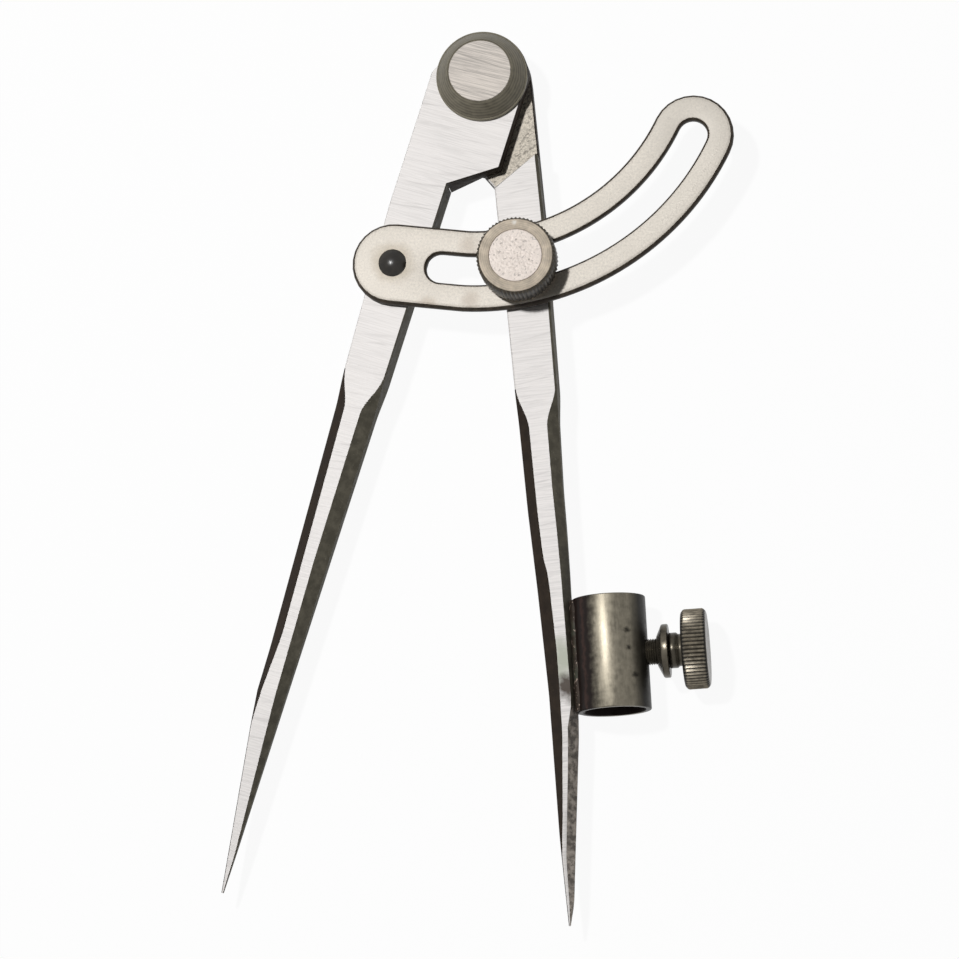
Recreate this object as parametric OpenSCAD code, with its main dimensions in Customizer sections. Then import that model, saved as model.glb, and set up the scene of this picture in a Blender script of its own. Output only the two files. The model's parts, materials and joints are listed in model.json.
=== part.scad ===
// Wing compass, lying on its back with the hinge at the origin.
// +Z points out of the front face, +Y from the points towards the hinge.
// Each leg is drawn in its own frame: x = -outward, y = -distance from the hinge,
// with the closing line of the two legs on the Y axis.

/* [Legs] */
// Angle between each leg's closing line and the middle line, as stored
half_opening = 11.5; // [10:0.5:14]
// Distance from the hinge axis to the point
leg_len = 190.7; // [175:0.1:220]
// Thickness of the leg at the hinge
leg_t = 8.5; // [7.5:0.1:10]
// Distance of each inner edge from the closing line
inner_gap = 0.25; // [0.15:0.05:0.5]
// Outward reach of the left leg beside the hinge
left_head_w = 11.3; // [10.6:0.1:12]
// Outward reach of the right leg beside the hinge
right_head_w = 10.5; // [10.3:0.1:12]
// Radius of the round end of each lap plate
head_r = 10.4; // [10.3:0.1:10.6]
// Distance from the hinge at which the straight outer edge begins
head_side_u = 2; // [1:0.1:4]
// Distance from the hinge at which the taper begins
taper_start = 34; // [32:1:38]
// Distance from the hinge to the shoulder where the bevels begin
shoulder_u = 72; // [68:1:78]
// Width of the leg at the shoulder
shoulder_w = 9.6; // [8.5:0.1:10.2]
// Length of the drawn point
point_len = 44.7; // [38:0.1:50]
// Width of the leg where the drawn point begins
point_w = 6.5; // [5.5:0.1:7.5]
// Thickness of the leg where the drawn point begins
point_t = 6.6; // [5.6:0.1:7.4]
// Width of each bevel just below the shoulder
bevel_w = 2.4; // [1.6:0.1:2.8]
// Depth of each bevel
bevel_depth = 2.3; // [1.2:0.1:2.5]
// Length over which the bevels run in
bevel_run = 9; // [5:1:14]
// Width of the left leg's inner bevel where the drawn point begins
left_inner_bevel = 1.6; // [1:0.1:2.4]
// Width of the left leg's outer bevel where the drawn point begins
left_outer_bevel = 1.8; // [1:0.1:2.4]
// Width of the right leg's inner bevel where the drawn point begins
right_inner_bevel = 3.3; // [1:0.1:3.6]
// Width of the right leg's outer bevel where the drawn point begins
right_outer_bevel = 1.2; // [0.8:0.1:1.8]
// Length over which the left leg's bevels run out on the drawn point
left_run_out = 14; // [8:1:36]
// Length over which the right leg's bevels run out on the drawn point
right_run_out = 36; // [8:1:36]
// Width left at the tip of the point
tip_w = 0.5; // [0.3:0.1:1]

/* [Lap joint] */
// Distance from the hinge to the foot of the lap, on the closing line
lap_u = 25.5; // [24:0.5:28]
// Slope of the foot of the lap
lap_angle = 33.7; // [25:0.5:38]
// Reach of each lap plate past the closing line
lap_reach = 9.9; // [9:0.1:10.2]
// Gap between a lap plate and the other leg's step when closed
lap_clear = 0.3; // [0.2:0.1:0.8]
// Distance of the rear lap plate's far corner from the hinge along the leg
rear_foot_u = 23.3; // [22:0.1:24]
// Distance from the hinge to the notch in the rear lap plate's foot
notch_u = 20.9; // [20:0.1:22]
// Reach of that notch past the closing line
notch_reach = 2.6; // [2:0.1:4]
// Distance from the hinge to the foot of the rear lap plate at its own leg
rear_corner_u = 25; // [24:0.1:25.4]

/* [Hinge] */
// Diameter of the conical front washer
washer_d = 20.5; // [18:0.1:20.8]
// Height of the conical front washer
washer_h = 5.3; // [4:0.1:7]
// Height of its straight rim
washer_rim = 1; // [0.5:0.1:2]
// Diameter of its flat top
washer_top_d = 14.6; // [13:0.1:16]
// Diameter of the rivet's ground front head
rivet_head_d = 14; // [11:0.1:14.2]
// Diameter of the rivet shank
rivet_d = 8; // [6:0.1:9]
// Depth over which the rivet head spreads
rivet_head_h = 2.6; // [1.5:0.1:3.5]
// Diameter of the flat rear washer
rear_washer_d = 18; // [14:0.5:20]
// Thickness of the flat rear washer
rear_washer_t = 1.15; // [0.8:0.05:2]
// Diameter of the rivet's rear end
rear_head_d = 10.4; // [9.4:0.1:11]

/* [Wing] */
// Distance of the wing rivet from the hinge along the left leg
pivot_u = 46.8; // [45:0.1:49]
// Distance of the wing rivet from the left leg's closing line
pivot_w = 6; // [5.4:0.1:6.4]
// Radius of the arc that the clamp screw runs along on the wing
path_r = 52.3; // [50:0.1:54]
// Distance by which the slot's middle line lies outside that arc
slot_drop = 0.2; // [0:0.05:0.3]
// Turn of the wing for each degree that the legs open
wing_ratio = 0.077; // [0.07:0.001:0.084]
// First change of opening at which the clamp screw runs on the middle line
line_angle_a = 3.6; // [2:0.1:5]
// Second change of opening at which the clamp screw runs on the middle line
line_angle_b = 55.4; // [52:0.1:58]
// Width of the wing
wing_w = 18.2; // [16:0.1:20]
// Thickness of the wing
wing_t = 2.7; // [2:0.1:3.5]
// Width of the slot
slot_w = 6.6; // [6.5:0.1:7.2]
// How far the legs can close from the stored opening
close_angle = 22.6; // [20:0.1:22.6]
// How far the legs can open from the stored opening
open_angle = 67; // [55:1:67]
// Diameter of the wing rivet's shank
wing_rivet_d = 3.5; // [3:0.1:4]
// Diameter of the wing rivet's dome
wing_dome_d = 6.2; // [5.4:0.1:7]
// Height of the wing rivet's dome
wing_dome_h = 1.4; // [1:0.1:2]
// Diameter of the wing rivet's flush rear end
wing_rear_d = 5.6; // [4.4:0.1:6.4]
// Depth of the wing rivet's flush rear end
wing_rear_h = 1.4; // [0.8:0.1:2]

/* [Clamp knob] */
// Distance of the clamp screw from the hinge along the right leg
stud_u = 44.6; // [44:0.1:45.4]
// Distance of the clamp screw from the right leg's closing line
stud_w = 4.4; // [4.2:0.1:4.7]
// Diameter of the clamp screw
stud_d = 5; // [4:0.1:5]
// Diameter over the knurl of the knob
knob_d = 17.6; // [15:0.1:20]
// Height of the knob
knob_h = 7.8; // [5:0.1:9]
// Bevel of the knob's edges
knob_bevel = 0.6; // [0.3:0.1:1]
// Number of knurl ridges on the knob
knob_ridges = 60; // [40:1:72]
// Diameter of the clamp screw's head in the knob
screw_head_d = 11.8; // [9:0.1:12.5]
// Depth of the clamp screw's head
screw_head_h = 3; // [2:0.1:4]
// Diameter of the washer under the knob
clamp_washer_d = 14; // [12:0.5:15]
// Thickness of the washer under the knob
clamp_washer_t = 1.2; // [0.8:0.1:1.8]
// Material left between the clamp screw's end and the back of the leg
stud_end_cover = 0.8; // [0.4:0.1:2]

/* [Pencil tube] */
// Distance of the tube's lower end from the beginning of the drawn point
tube_end_back = 1.2; // [0.5:0.1:6]
// Outer diameter of the tube
tube_d = 16.2; // [14:0.1:18]
// Wall of the tube
tube_wall = 1.3; // [1:0.1:2]
// Length of the tube
tube_len = 25; // [22:1:30]
// Braze left between the tube and the leg
braze_gap = 0.12; // [0.1:0.01:0.3]
// Half height of the braze bead
braze_h = 3.4; // [2.8:0.1:4]
// Width of the braze bead's front and back edges
braze_edge = 0.7; // [0.5:0.1:1]
// Distance of those edges from the leg's side
braze_out = 0.5; // [0.3:0.1:0.8]
// Reach of the braze bead over the leg's bevel
braze_foot = 0.5; // [0.2:0.1:0.6]

/* [Pencil screw] */
// Distance of the screw from the tube's middle, towards the hinge
screw_shift = 0; // [-4:0.5:4]
// Diameter of the screw's stem
stem_d = 5.8; // [4.5:0.1:6]
// Gap between the tube and the collar, as stored
collar_gap = 2; // [1.5:0.1:2.5]
// Diameter of the collar
collar_d = 11.8; // [10:0.1:13]
// Diameter of the collar's small end, towards the tube
collar_nose_d = 6.8; // [6.4:0.1:8]
// Width of the collar's straight edge
collar_edge = 1.3; // [0.8:0.1:2]
// Length of the collar's cone
collar_cone = 1.3; // [0.8:0.1:2]
// Diameter of the neck
neck_d = 7.8; // [7.4:0.1:9]
// Length of the neck
neck_len = 3; // [2:0.1:4]
// Diameter over the knurl of the screw's head
head_d = 17.6; // [15:0.1:20]
// Thickness of the screw's head
head_t = 5.5; // [5:0.1:8]
// Bevel of the head's edges
head_bevel = 0.8; // [0.4:0.1:1.2]
// Number of knurl ridges on the screw's head
head_ridges = 60; // [40:1:72]

/* [Fits] */
// Gap between flat faces that slide on each other
slide_gap = 0.05; // [0.03:0.01:0.1]
// Radial clearance of a shaft that turns in a hole
run_gap = 0.06; // [0.03:0.01:0.09]
// Gap between the wing and the faces of the legs
wing_gap = 0.1; // [0.05:0.05:0.3]
// Depth of a knurl groove
knurl_depth = 0.3; // [0.2:0.05:0.4]

/* [Hidden] */
// Facets of the round features
$fn = 96;
// Small amount by which a cut runs past the surface
cut = 1;
// Bevel that remains on the edges above the shoulder
edge_break = 0.3;
// Overlap of the drawn part of a leg with its flat upper part
leg_join = 6;
// Distance of the flat upper part's end from the shoulder, under the wing
flat_end_back = 14;
// Share of the tip's width that a bevel takes there
point_bevel_share = 0.3;
// Steps of the smooth run-in of the bevel
run_steps = 6;
// Amount by which a side and a round end that meet are kept from touching along a line
tangent_ease = 0.02;
// Facets of the wing's long arc
arc_facets = 180;
// Angle along the arc between the slot's left end and the wing's straight part
arc_lead = 6;
// Amount by which the turned form of a knurled disc stands clear of its ridges
knurl_clear = 0.1;
// Gap between the stem's end and the bore, as stored
stem_back = 0.15;

back_z = rear_washer_t + slide_gap;
mid_z = back_z + leg_t / 2;
face_z = back_z + leg_t;
wing_z = face_z + wing_gap;
wing_top_z = wing_z + wing_t;
clamp_washer_z = wing_top_z + slide_gap;
knob_z = clamp_washer_z + clamp_washer_t + slide_gap;
knob_top_z = knob_z + knob_h;
washer_top_z = face_z + washer_h;
point_u = leg_len - point_len;
flat_end_u = shoulder_u - flat_end_back;
tip_bevel = point_bevel_share * tip_w;
// Distance of the tube's middle from the hinge along the right leg
tube_u = point_u - tube_end_back - tube_len / 2;
lap_slope = tan(lap_angle);
// Place of the right leg's step where it meets the closing line, and its slope
front_step = [lap_u + lap_clear / cos(lap_angle), lap_slope];
// The left leg's step runs round the hinge, just clear of the rear plate's far corner
rear_step_r = norm([lap_reach, rear_foot_u]) + lap_clear;
// Foot of each lap plate, from its far corner to its own leg
front_foot = [
    [lap_reach, -lap_u + lap_reach * lap_slope],
    [-inner_gap, -lap_u - inner_gap * lap_slope]
];
rear_foot = [
    [lap_reach, -rear_foot_u],
    [notch_reach, -notch_u],
    [-inner_gap, -rear_corner_u]
];
stud_r = stud_d / 2;
wing_hole_r = wing_rivet_d / 2 + run_gap;

// Turns a point about a centre
function turned(p, angle, centre = [0, 0]) =
    let (d = p - centre)
    centre + [d.x * cos(angle) - d.y * sin(angle), d.x * sin(angle) + d.y * cos(angle)];

// Places of the wing rivet and of the clamp screw in the stored opening
pivot = turned([-pivot_w, -pivot_u], -half_opening);
stud = turned([stud_w, -stud_u], half_opening);

// Place of the clamp screw on the wing after the legs open by an angle
function on_wing(angle) = turned(turned(stud, angle), -wing_ratio * angle, pivot);

// Centre of the wing's arc, which passes the clamp screw at two openings
line_a = on_wing(line_angle_a);
line_b = on_wing(line_angle_b);
chord = line_b - line_a;
chord_len = norm(chord);
arc_rise = sqrt(path_r * path_r - chord_len * chord_len / 4);
arc_centre = (line_a + line_b) / 2 + [-chord.y, chord.x] / chord_len * arc_rise;
arc_r = path_r + slot_drop;

function arc_angle(p) = atan2(p.y - arc_centre.y, p.x - arc_centre.x);
function on_arc(angle) = arc_centre + arc_r * [cos(angle), sin(angle)];
slot_from = arc_angle(on_wing(-close_angle));
slot_to = arc_angle(on_wing(open_angle));
// The wing is straight from its rivet to this place on the arc
arc_from = slot_from + arc_lead;

// Value between two others, at a share from 0 to 1
function blend(a, b, share) = a + (b - a) * share;
// Share that starts and ends smoothly
function smooth(share) = share * share * (3 - 2 * share);

// Outer edge of a leg at a distance from the hinge
function leg_w(u, head_w) =
    u < taper_start ? head_w :
    u < shoulder_u ? blend(head_w, shoulder_w, (u - taper_start) / (shoulder_u - taper_start)) :
    u < point_u ? blend(shoulder_w, point_w, (u - shoulder_u) / (point_u - shoulder_u)) :
    blend(point_w, inner_gap + tip_w, (u - point_u) / point_len);
// Half thickness of a leg at a distance from the hinge
function leg_half_t(u) =
    u < shoulder_u ? leg_t / 2 :
    u < point_u ? blend(leg_t / 2, point_t / 2, (u - shoulder_u) / (point_u - shoulder_u)) :
    blend(point_t / 2, tip_w / 2, (u - point_u) / point_len);
// Bevel at a distance from the hinge: it runs in at the shoulder, changes evenly along the leg
// and runs out on the drawn point
bevel_start_u = shoulder_u + bevel_run;
function bevel_at(u, top, foot, run_out) =
    u < shoulder_u ? edge_break :
    u < bevel_start_u ? blend(edge_break, top, smooth((u - shoulder_u) / bevel_run)) :
    u < point_u ? blend(top, foot, (u - bevel_start_u) / (point_u - bevel_start_u)) :
    u < point_u + run_out ? blend(foot, tip_bevel, (u - point_u) / run_out) :
    tip_bevel;

// Eight-sided section of a leg
function leg_ring(u, head_w, inner_bevel, outer_bevel, run_out) =
    let (
        w = leg_w(u, head_w), t = leg_half_t(u), i = inner_gap,
        b_in = bevel_at(u, bevel_w, inner_bevel, run_out),
        b_out = bevel_at(u, bevel_w, outer_bevel, run_out),
        d = bevel_at(u, bevel_depth, bevel_depth, run_out)
    )
    [
        [-i - b_in, -u, -t], [-w + b_out, -u, -t], [-w, -u, d - t], [-w, -u, t - d],
        [-w + b_out, -u, t], [-i - b_in, -u, t], [-i, -u, t - d], [-i, -u, d - t]
    ];

// Taper of the outer edge where the tube sits
tube_tilt = atan2(shoulder_w - point_w, point_u - shoulder_u);
tube_r = tube_d / 2;
bore_r = tube_r - tube_wall;
// Half height of the leg's flat side at the upper end of the tube
side_half = leg_half_t(tube_u - tube_len / 2) - bevel_depth;
collar_x = tube_r + collar_gap;
collar_len = collar_cone + collar_edge;
neck_x = collar_x + collar_len + slide_gap;
head_x = neck_x + neck_len;
stem_x = bore_r + stem_back;

// Frames of the two legs
module in_left() {
    rotate([0, 0, -half_opening]) children();
}
module in_right() {
    rotate([0, 0, half_opening]) mirror([1, 0, 0]) children();
}
// Frame of the tube: x outwards from the tube's axis, y along it towards the hinge
module in_tube() {
    in_right()
        translate([-leg_w(tube_u, right_head_w), -tube_u, mid_z])
            rotate([0, 0, tube_tilt])
                mirror([1, 0, 0])
                    translate([tube_r + braze_gap, 0, 0]) children();
}
// Frame of the pencil screw: z outwards along the screw
module in_screw() {
    in_tube() translate([0, screw_shift, 0]) rotate([0, 90, 0]) children();
}

// The drawn and bevelled part of a leg
module leg_shank(head_w, inner_bevel, outer_bevel, run_out) {
    stations = concat(
        [flat_end_u - leg_join, shoulder_u],
        [for (i = [1 : run_steps]) shoulder_u + bevel_run * i / run_steps],
        [point_u, point_u + run_out, leg_len]
    );
    rings = [for (u = stations) leg_ring(u, head_w, inner_bevel, outer_bevel, run_out)];
    last = 8 * (len(stations) - 1);
    translate([0, 0, mid_z])
        polyhedron(
            points = [for (ring = rings) each ring],
            faces = concat(
                [[for (k = [7 : -1 : 0]) k]],
                [for (s = [0 : len(stations) - 2], k = [0 : 7])
                    let (a = 8 * s + k, b = 8 * s + (k + 1) % 8)
                    [a, b, b + 8, a + 8]],
                [[for (k = [0 : 7]) last + k]]
            )
        );
}

// Outline of a lap plate with the round head and a given foot
module lap_outline(head_w, foot) {
    intersection() {
        circle(r = head_r);
        translate([-head_r, -head_r]) square([head_r + lap_reach, 2 * head_r]);
    }
    polygon([
        [-head_r + tangent_ease, 0],
        [lap_reach, 0],
        each foot,
        [-inner_gap, -taper_start],
        [-head_w, -taper_start],
        [-head_w, -head_side_u]
    ]);
}

// Outline of the upper part of a leg below its step
module shank_outline(head_w, step) {
    polygon([
        [-inner_gap, -step[0] + inner_gap * step[1]],
        [-head_w, -step[0] + head_w * step[1]],
        [-head_w, -taper_start],
        [-leg_w(flat_end_u, head_w), -flat_end_u],
        [-inner_gap, -flat_end_u]
    ]);
}

// The hinge half of a leg, with its lap plate at the front or at the back
module leg_head(head_w, plate_z, foot, step) {
    plate_t = leg_t / 2 - slide_gap / 2;
    translate([0, 0, back_z]) linear_extrude(leg_t) shank_outline(head_w, step);
    translate([0, 0, plate_z]) linear_extrude(plate_t) lap_outline(head_w, foot);
}

// A hole along Z
module bore(r, from_z, to_z) {
    translate([0, 0, from_z]) cylinder(r = r, h = to_z - from_z);
}

module left_leg() {
    plate_z = mid_z + slide_gap / 2;
    color([0.86, 0.85, 0.83])
        in_left()
            difference() {
                union() {
                    leg_head(left_head_w, plate_z, front_foot, [notch_u, 0]);
                    leg_shank(left_head_w, left_inner_bevel, left_outer_bevel, left_run_out);
                }
                bore(rear_step_r, back_z - cut, plate_z);
                bore(rivet_d / 2, mid_z, face_z + cut);
                translate([-pivot_w, -pivot_u, 0]) {
                    bore(wing_rivet_d / 2, back_z - cut, face_z + cut);
                    translate([0, 0, back_z])
                        cylinder(d1 = wing_rear_d, d2 = wing_rivet_d, h = wing_rear_h);
                }
            }
}

module right_leg() {
    color([0.86, 0.85, 0.83])
        in_right()
            difference() {
                union() {
                    leg_head(right_head_w, back_z, rear_foot, front_step);
                    leg_shank(right_head_w, right_inner_bevel, right_outer_bevel, right_run_out);
                }
                bore(rivet_d / 2 + run_gap, back_z - cut, mid_z + cut);
                translate([-stud_w, -stud_u, 0])
                    bore(stud_r + run_gap, back_z - cut, face_z + cut);
            }
}

module hinge_rivet() {
    color([0.74, 0.72, 0.70]) {
        cylinder(d = rivet_d, h = washer_top_z - rivet_head_h);
        cylinder(d1 = rear_head_d, d2 = rivet_d, h = rear_washer_t);
        translate([0, 0, washer_top_z - rivet_head_h])
            cylinder(d1 = rivet_d, d2 = rivet_head_d, h = rivet_head_h);
    }
}

module front_hinge_washer() {
    color([0.33, 0.32, 0.28])
        difference() {
            translate([0, 0, face_z]) {
                cylinder(d = washer_d, h = washer_rim);
                translate([0, 0, washer_rim])
                    cylinder(d1 = washer_d - 2 * edge_break, d2 = washer_top_d, h = washer_h - washer_rim);
            }
            bore(rivet_d / 2, face_z - cut, washer_top_z);
            translate([0, 0, washer_top_z - rivet_head_h])
                cylinder(d1 = rivet_d, d2 = rivet_head_d, h = rivet_head_h);
        }
}

module rear_hinge_washer() {
    color([0.33, 0.32, 0.28])
        difference() {
            cylinder(d = rear_washer_d, h = rear_washer_t);
            bore(rivet_d / 2, -cut, rear_washer_t + cut);
            cylinder(d1 = rear_head_d, d2 = rivet_d, h = rear_washer_t);
        }
}

// A bar along the wing's arc between two angles, with round ends, standing on z = 0
module arc_bar(width, height, from_angle, to_angle) {
    far = (arc_r + width) / cos((to_angle - from_angle) / 4);
    translate(arc_centre)
        intersection() {
            difference() {
                cylinder(r = arc_r + width / 2, h = height, $fn = arc_facets);
                bore(arc_r - width / 2, -cut, height + cut, $fn = arc_facets);
            }
            linear_extrude(height)
                polygon([
                    [0, 0],
                    for (i = [0 : 2]) let (a = blend(from_angle, to_angle, i / 2)) far * [cos(a), sin(a)]
                ]);
        }
    for (angle = [from_angle, to_angle])
        translate(on_arc(angle)) cylinder(d = width - 2 * tangent_ease, h = height);
}

module wing_bar() {
    start = on_arc(arc_from);
    along = (start - pivot) / norm(start - pivot);
    side = [-along.y, along.x] * (wing_w / 2 - tangent_ease);
    arc_bar(wing_w, wing_t, arc_from, slot_to);
    translate(pivot) cylinder(d = wing_w, h = wing_t);
    linear_extrude(wing_t) polygon([pivot + side, start + side, start - side, pivot - side]);
}

module wing() {
    color([0.66, 0.64, 0.61])
        translate([0, 0, wing_z])
            difference() {
                wing_bar();
                translate([0, 0, -cut]) arc_bar(slot_w, wing_t + 2 * cut, slot_from, slot_to);
                translate(pivot) bore(wing_hole_r, -cut, wing_t + cut);
            }
}

module wing_rivet() {
    dome_z = wing_top_z + slide_gap;
    dome_r = (wing_dome_d * wing_dome_d / 4 + wing_dome_h * wing_dome_h) / (2 * wing_dome_h);
    color([0.16, 0.15, 0.14])
        in_left()
            translate([-pivot_w, -pivot_u, 0]) {
                translate([0, 0, back_z]) cylinder(d = wing_rivet_d, h = dome_z - back_z);
                translate([0, 0, back_z])
                    cylinder(d1 = wing_rear_d, d2 = wing_rivet_d, h = wing_rear_h);
                translate([0, 0, dome_z])
                    intersection() {
                        cylinder(d = wing_dome_d, h = wing_dome_h);
                        translate([0, 0, wing_dome_h - dome_r]) sphere(r = dome_r);
                    }
            }
}

// A knurled disc with bevelled edges, standing on z = 0
module knurled_disc(d, h, edge, ridges) {
    out = d / 2 + knurl_clear;
    rise = edge + knurl_clear;
    intersection() {
        linear_extrude(h)
            polygon([
                for (i = [0 : 2 * ridges - 1])
                    let (r = d / 2 - (i % 2) * knurl_depth, a = 180 * i / ridges) r * [cos(a), sin(a)]
            ]);
        rotate_extrude()
            polygon([
                [0, 0], [d / 2 - edge, 0], [out, rise],
                [out, h - rise], [d / 2 - edge, h], [0, h]
            ]);
    }
}

module in_clamp() {
    in_right() translate([-stud_w, -stud_u, 0]) children();
}

module clamp_knob() {
    color([0.50, 0.48, 0.44])
        in_clamp()
            translate([0, 0, knob_z])
                difference() {
                    knurled_disc(knob_d, knob_h, knob_bevel, knob_ridges);
                    bore(stud_r, -cut, knob_h + cut);
                    bore(screw_head_d / 2, knob_h - screw_head_h, knob_h + cut);
                }
}

module clamp_screw() {
    color([0.78, 0.75, 0.72])
        in_clamp() {
            bore(stud_r, back_z + stud_end_cover, knob_top_z - screw_head_h);
            bore(screw_head_d / 2, knob_top_z - screw_head_h, knob_top_z);
        }
}

module clamp_washer() {
    color([0.42, 0.40, 0.37])
        in_clamp()
            translate([0, 0, clamp_washer_z])
                difference() {
                    cylinder(d = clamp_washer_d, h = clamp_washer_t);
                    bore(stud_r + run_gap, -cut, clamp_washer_t + cut);
                }
}

module pencil_tube() {
    color([0.36, 0.33, 0.30])
        difference() {
            in_tube() rotate([90, 0, 0]) translate([0, 0, -tube_len / 2]) cylinder(d = tube_d, h = tube_len);
            in_tube() rotate([90, 0, 0]) translate([0, 0, -tube_len]) cylinder(r = bore_r, h = 2 * tube_len);
            in_screw() cylinder(r = stem_d / 2 + run_gap, h = tube_d);
        }
}

module tube_braze() {
    // Where the leg's bevel lies at the bead's foot
    foot_x = braze_foot * right_outer_bevel / bevel_depth;
    color([0.30, 0.26, 0.22])
        in_tube()
            rotate([90, 0, 0])
                translate([0, 0, -tube_len / 2])
                    linear_extrude(tube_len)
                        translate([-tube_r - braze_gap, 0])
                            difference() {
                                polygon([
                                    [0, -side_half], [0, side_half],
                                    [-foot_x, side_half + braze_foot],
                                    [braze_out, braze_h], [braze_out + braze_edge, braze_h],
                                    [braze_out + braze_edge, -braze_h], [braze_out, -braze_h],
                                    [-foot_x, -side_half - braze_foot]
                                ]);
                                translate([tube_r + braze_gap, 0]) circle(r = tube_r);
                            }
}

module pencil_screw_head() {
    color([0.37, 0.35, 0.31])
        in_screw()
            difference() {
                union() {
                    translate([0, 0, neck_x]) cylinder(d = neck_d, h = neck_len + head_t / 2);
                    translate([0, 0, head_x]) knurled_disc(head_d, head_t, head_bevel, head_ridges);
                }
                bore(stem_d / 2, neck_x - cut, head_x + head_t / 2);
            }
}

module pencil_screw_stem() {
    color([0.30, 0.28, 0.25])
        in_screw() bore(stem_d / 2, stem_x, head_x + head_t / 2);
}

module pencil_screw_collar() {
    color([0.37, 0.35, 0.31])
        in_screw()
            difference() {
                translate([0, 0, collar_x]) {
                    cylinder(d1 = collar_nose_d, d2 = collar_d, h = collar_cone);
                    translate([0, 0, collar_cone]) cylinder(d = collar_d, h = collar_edge);
                }
                bore(stem_d / 2 + run_gap, collar_x - cut, collar_x + collar_len + cut);
            }
}

left_leg();
right_leg();
hinge_rivet();
front_hinge_washer();
rear_hinge_washer();
wing();
wing_rivet();
clamp_knob();
clamp_screw();
clamp_washer();
pencil_tube();
tube_braze();
pencil_screw_head();
pencil_screw_stem();
pencil_screw_collar();
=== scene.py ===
"""Wing compass lying on its back: the looks of its pieces, the light, the floor and the camera."""

import json
import math

import bmesh
import bpy
from bpy.props import FloatProperty, FloatVectorProperty, IntProperty, PointerProperty
from mathutils import Matrix, Vector, noise


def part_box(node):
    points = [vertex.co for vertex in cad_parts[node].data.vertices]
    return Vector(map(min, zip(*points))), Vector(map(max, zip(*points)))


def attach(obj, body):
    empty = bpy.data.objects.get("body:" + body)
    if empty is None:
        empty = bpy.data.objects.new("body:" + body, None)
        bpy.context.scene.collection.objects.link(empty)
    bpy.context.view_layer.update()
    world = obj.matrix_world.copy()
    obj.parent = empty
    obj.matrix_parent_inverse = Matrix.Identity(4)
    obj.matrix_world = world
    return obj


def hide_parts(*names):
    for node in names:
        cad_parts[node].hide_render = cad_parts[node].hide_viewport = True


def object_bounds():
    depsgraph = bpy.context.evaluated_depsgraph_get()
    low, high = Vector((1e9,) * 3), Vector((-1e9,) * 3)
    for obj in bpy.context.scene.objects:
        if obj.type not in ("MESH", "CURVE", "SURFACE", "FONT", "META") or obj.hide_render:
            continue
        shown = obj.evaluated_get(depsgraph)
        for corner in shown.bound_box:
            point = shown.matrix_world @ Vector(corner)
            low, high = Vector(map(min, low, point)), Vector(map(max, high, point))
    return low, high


bl_info = {
    "name": "Wing compass",
    "version": (1, 0, 0),
    "blender": (4, 5, 0),
    "location": "View3D > Sidebar > Compass",
    "description": "Dresses the pieces of a workshop wing compass and lights them",
    "category": "Object",
}

MM = 0.001
FULL_TURN = 2 * math.pi
TOUCHING = 1e-7  # two places that are nearer than this, in metres, count as one
EASE = 0.15 * MM  # small rounding of turned edges
HOLE_GAP = 0.06 * MM  # gap between a shank and the hole of the ring round it
CELL_MARGIN = 0.6 * MM  # flat left round a hole when it is drilled

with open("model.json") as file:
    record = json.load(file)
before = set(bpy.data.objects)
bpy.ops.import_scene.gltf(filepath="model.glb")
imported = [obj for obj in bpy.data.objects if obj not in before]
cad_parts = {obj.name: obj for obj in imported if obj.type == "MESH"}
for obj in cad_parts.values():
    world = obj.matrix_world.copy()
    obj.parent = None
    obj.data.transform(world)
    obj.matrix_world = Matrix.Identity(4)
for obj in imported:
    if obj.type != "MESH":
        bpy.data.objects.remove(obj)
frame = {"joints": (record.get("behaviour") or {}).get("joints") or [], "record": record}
cad_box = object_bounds()
joints = {joint["name"]: joint for joint in frame["joints"]}
mounts = {mount["name"]: mount for mount in frame["record"]["mounts"]}


# Sizes and colours that a user would change

def length(name, description, value_mm):
    """A length property, given in millimetres and kept in metres."""
    return FloatProperty(
        name=name, description=description, default=value_mm * MM, unit="LENGTH", precision=5
    )


def angle(name, description, value_deg):
    """An angle property, given in degrees and kept in radians."""
    return FloatProperty(
        name=name, description=description, default=math.radians(value_deg), subtype="ANGLE"
    )


def colour(name, description, value):
    """A colour property in linear red, green and blue."""
    return FloatVectorProperty(
        name=name, description=description, default=value, size=3, subtype="COLOR", min=0, max=1
    )


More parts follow.
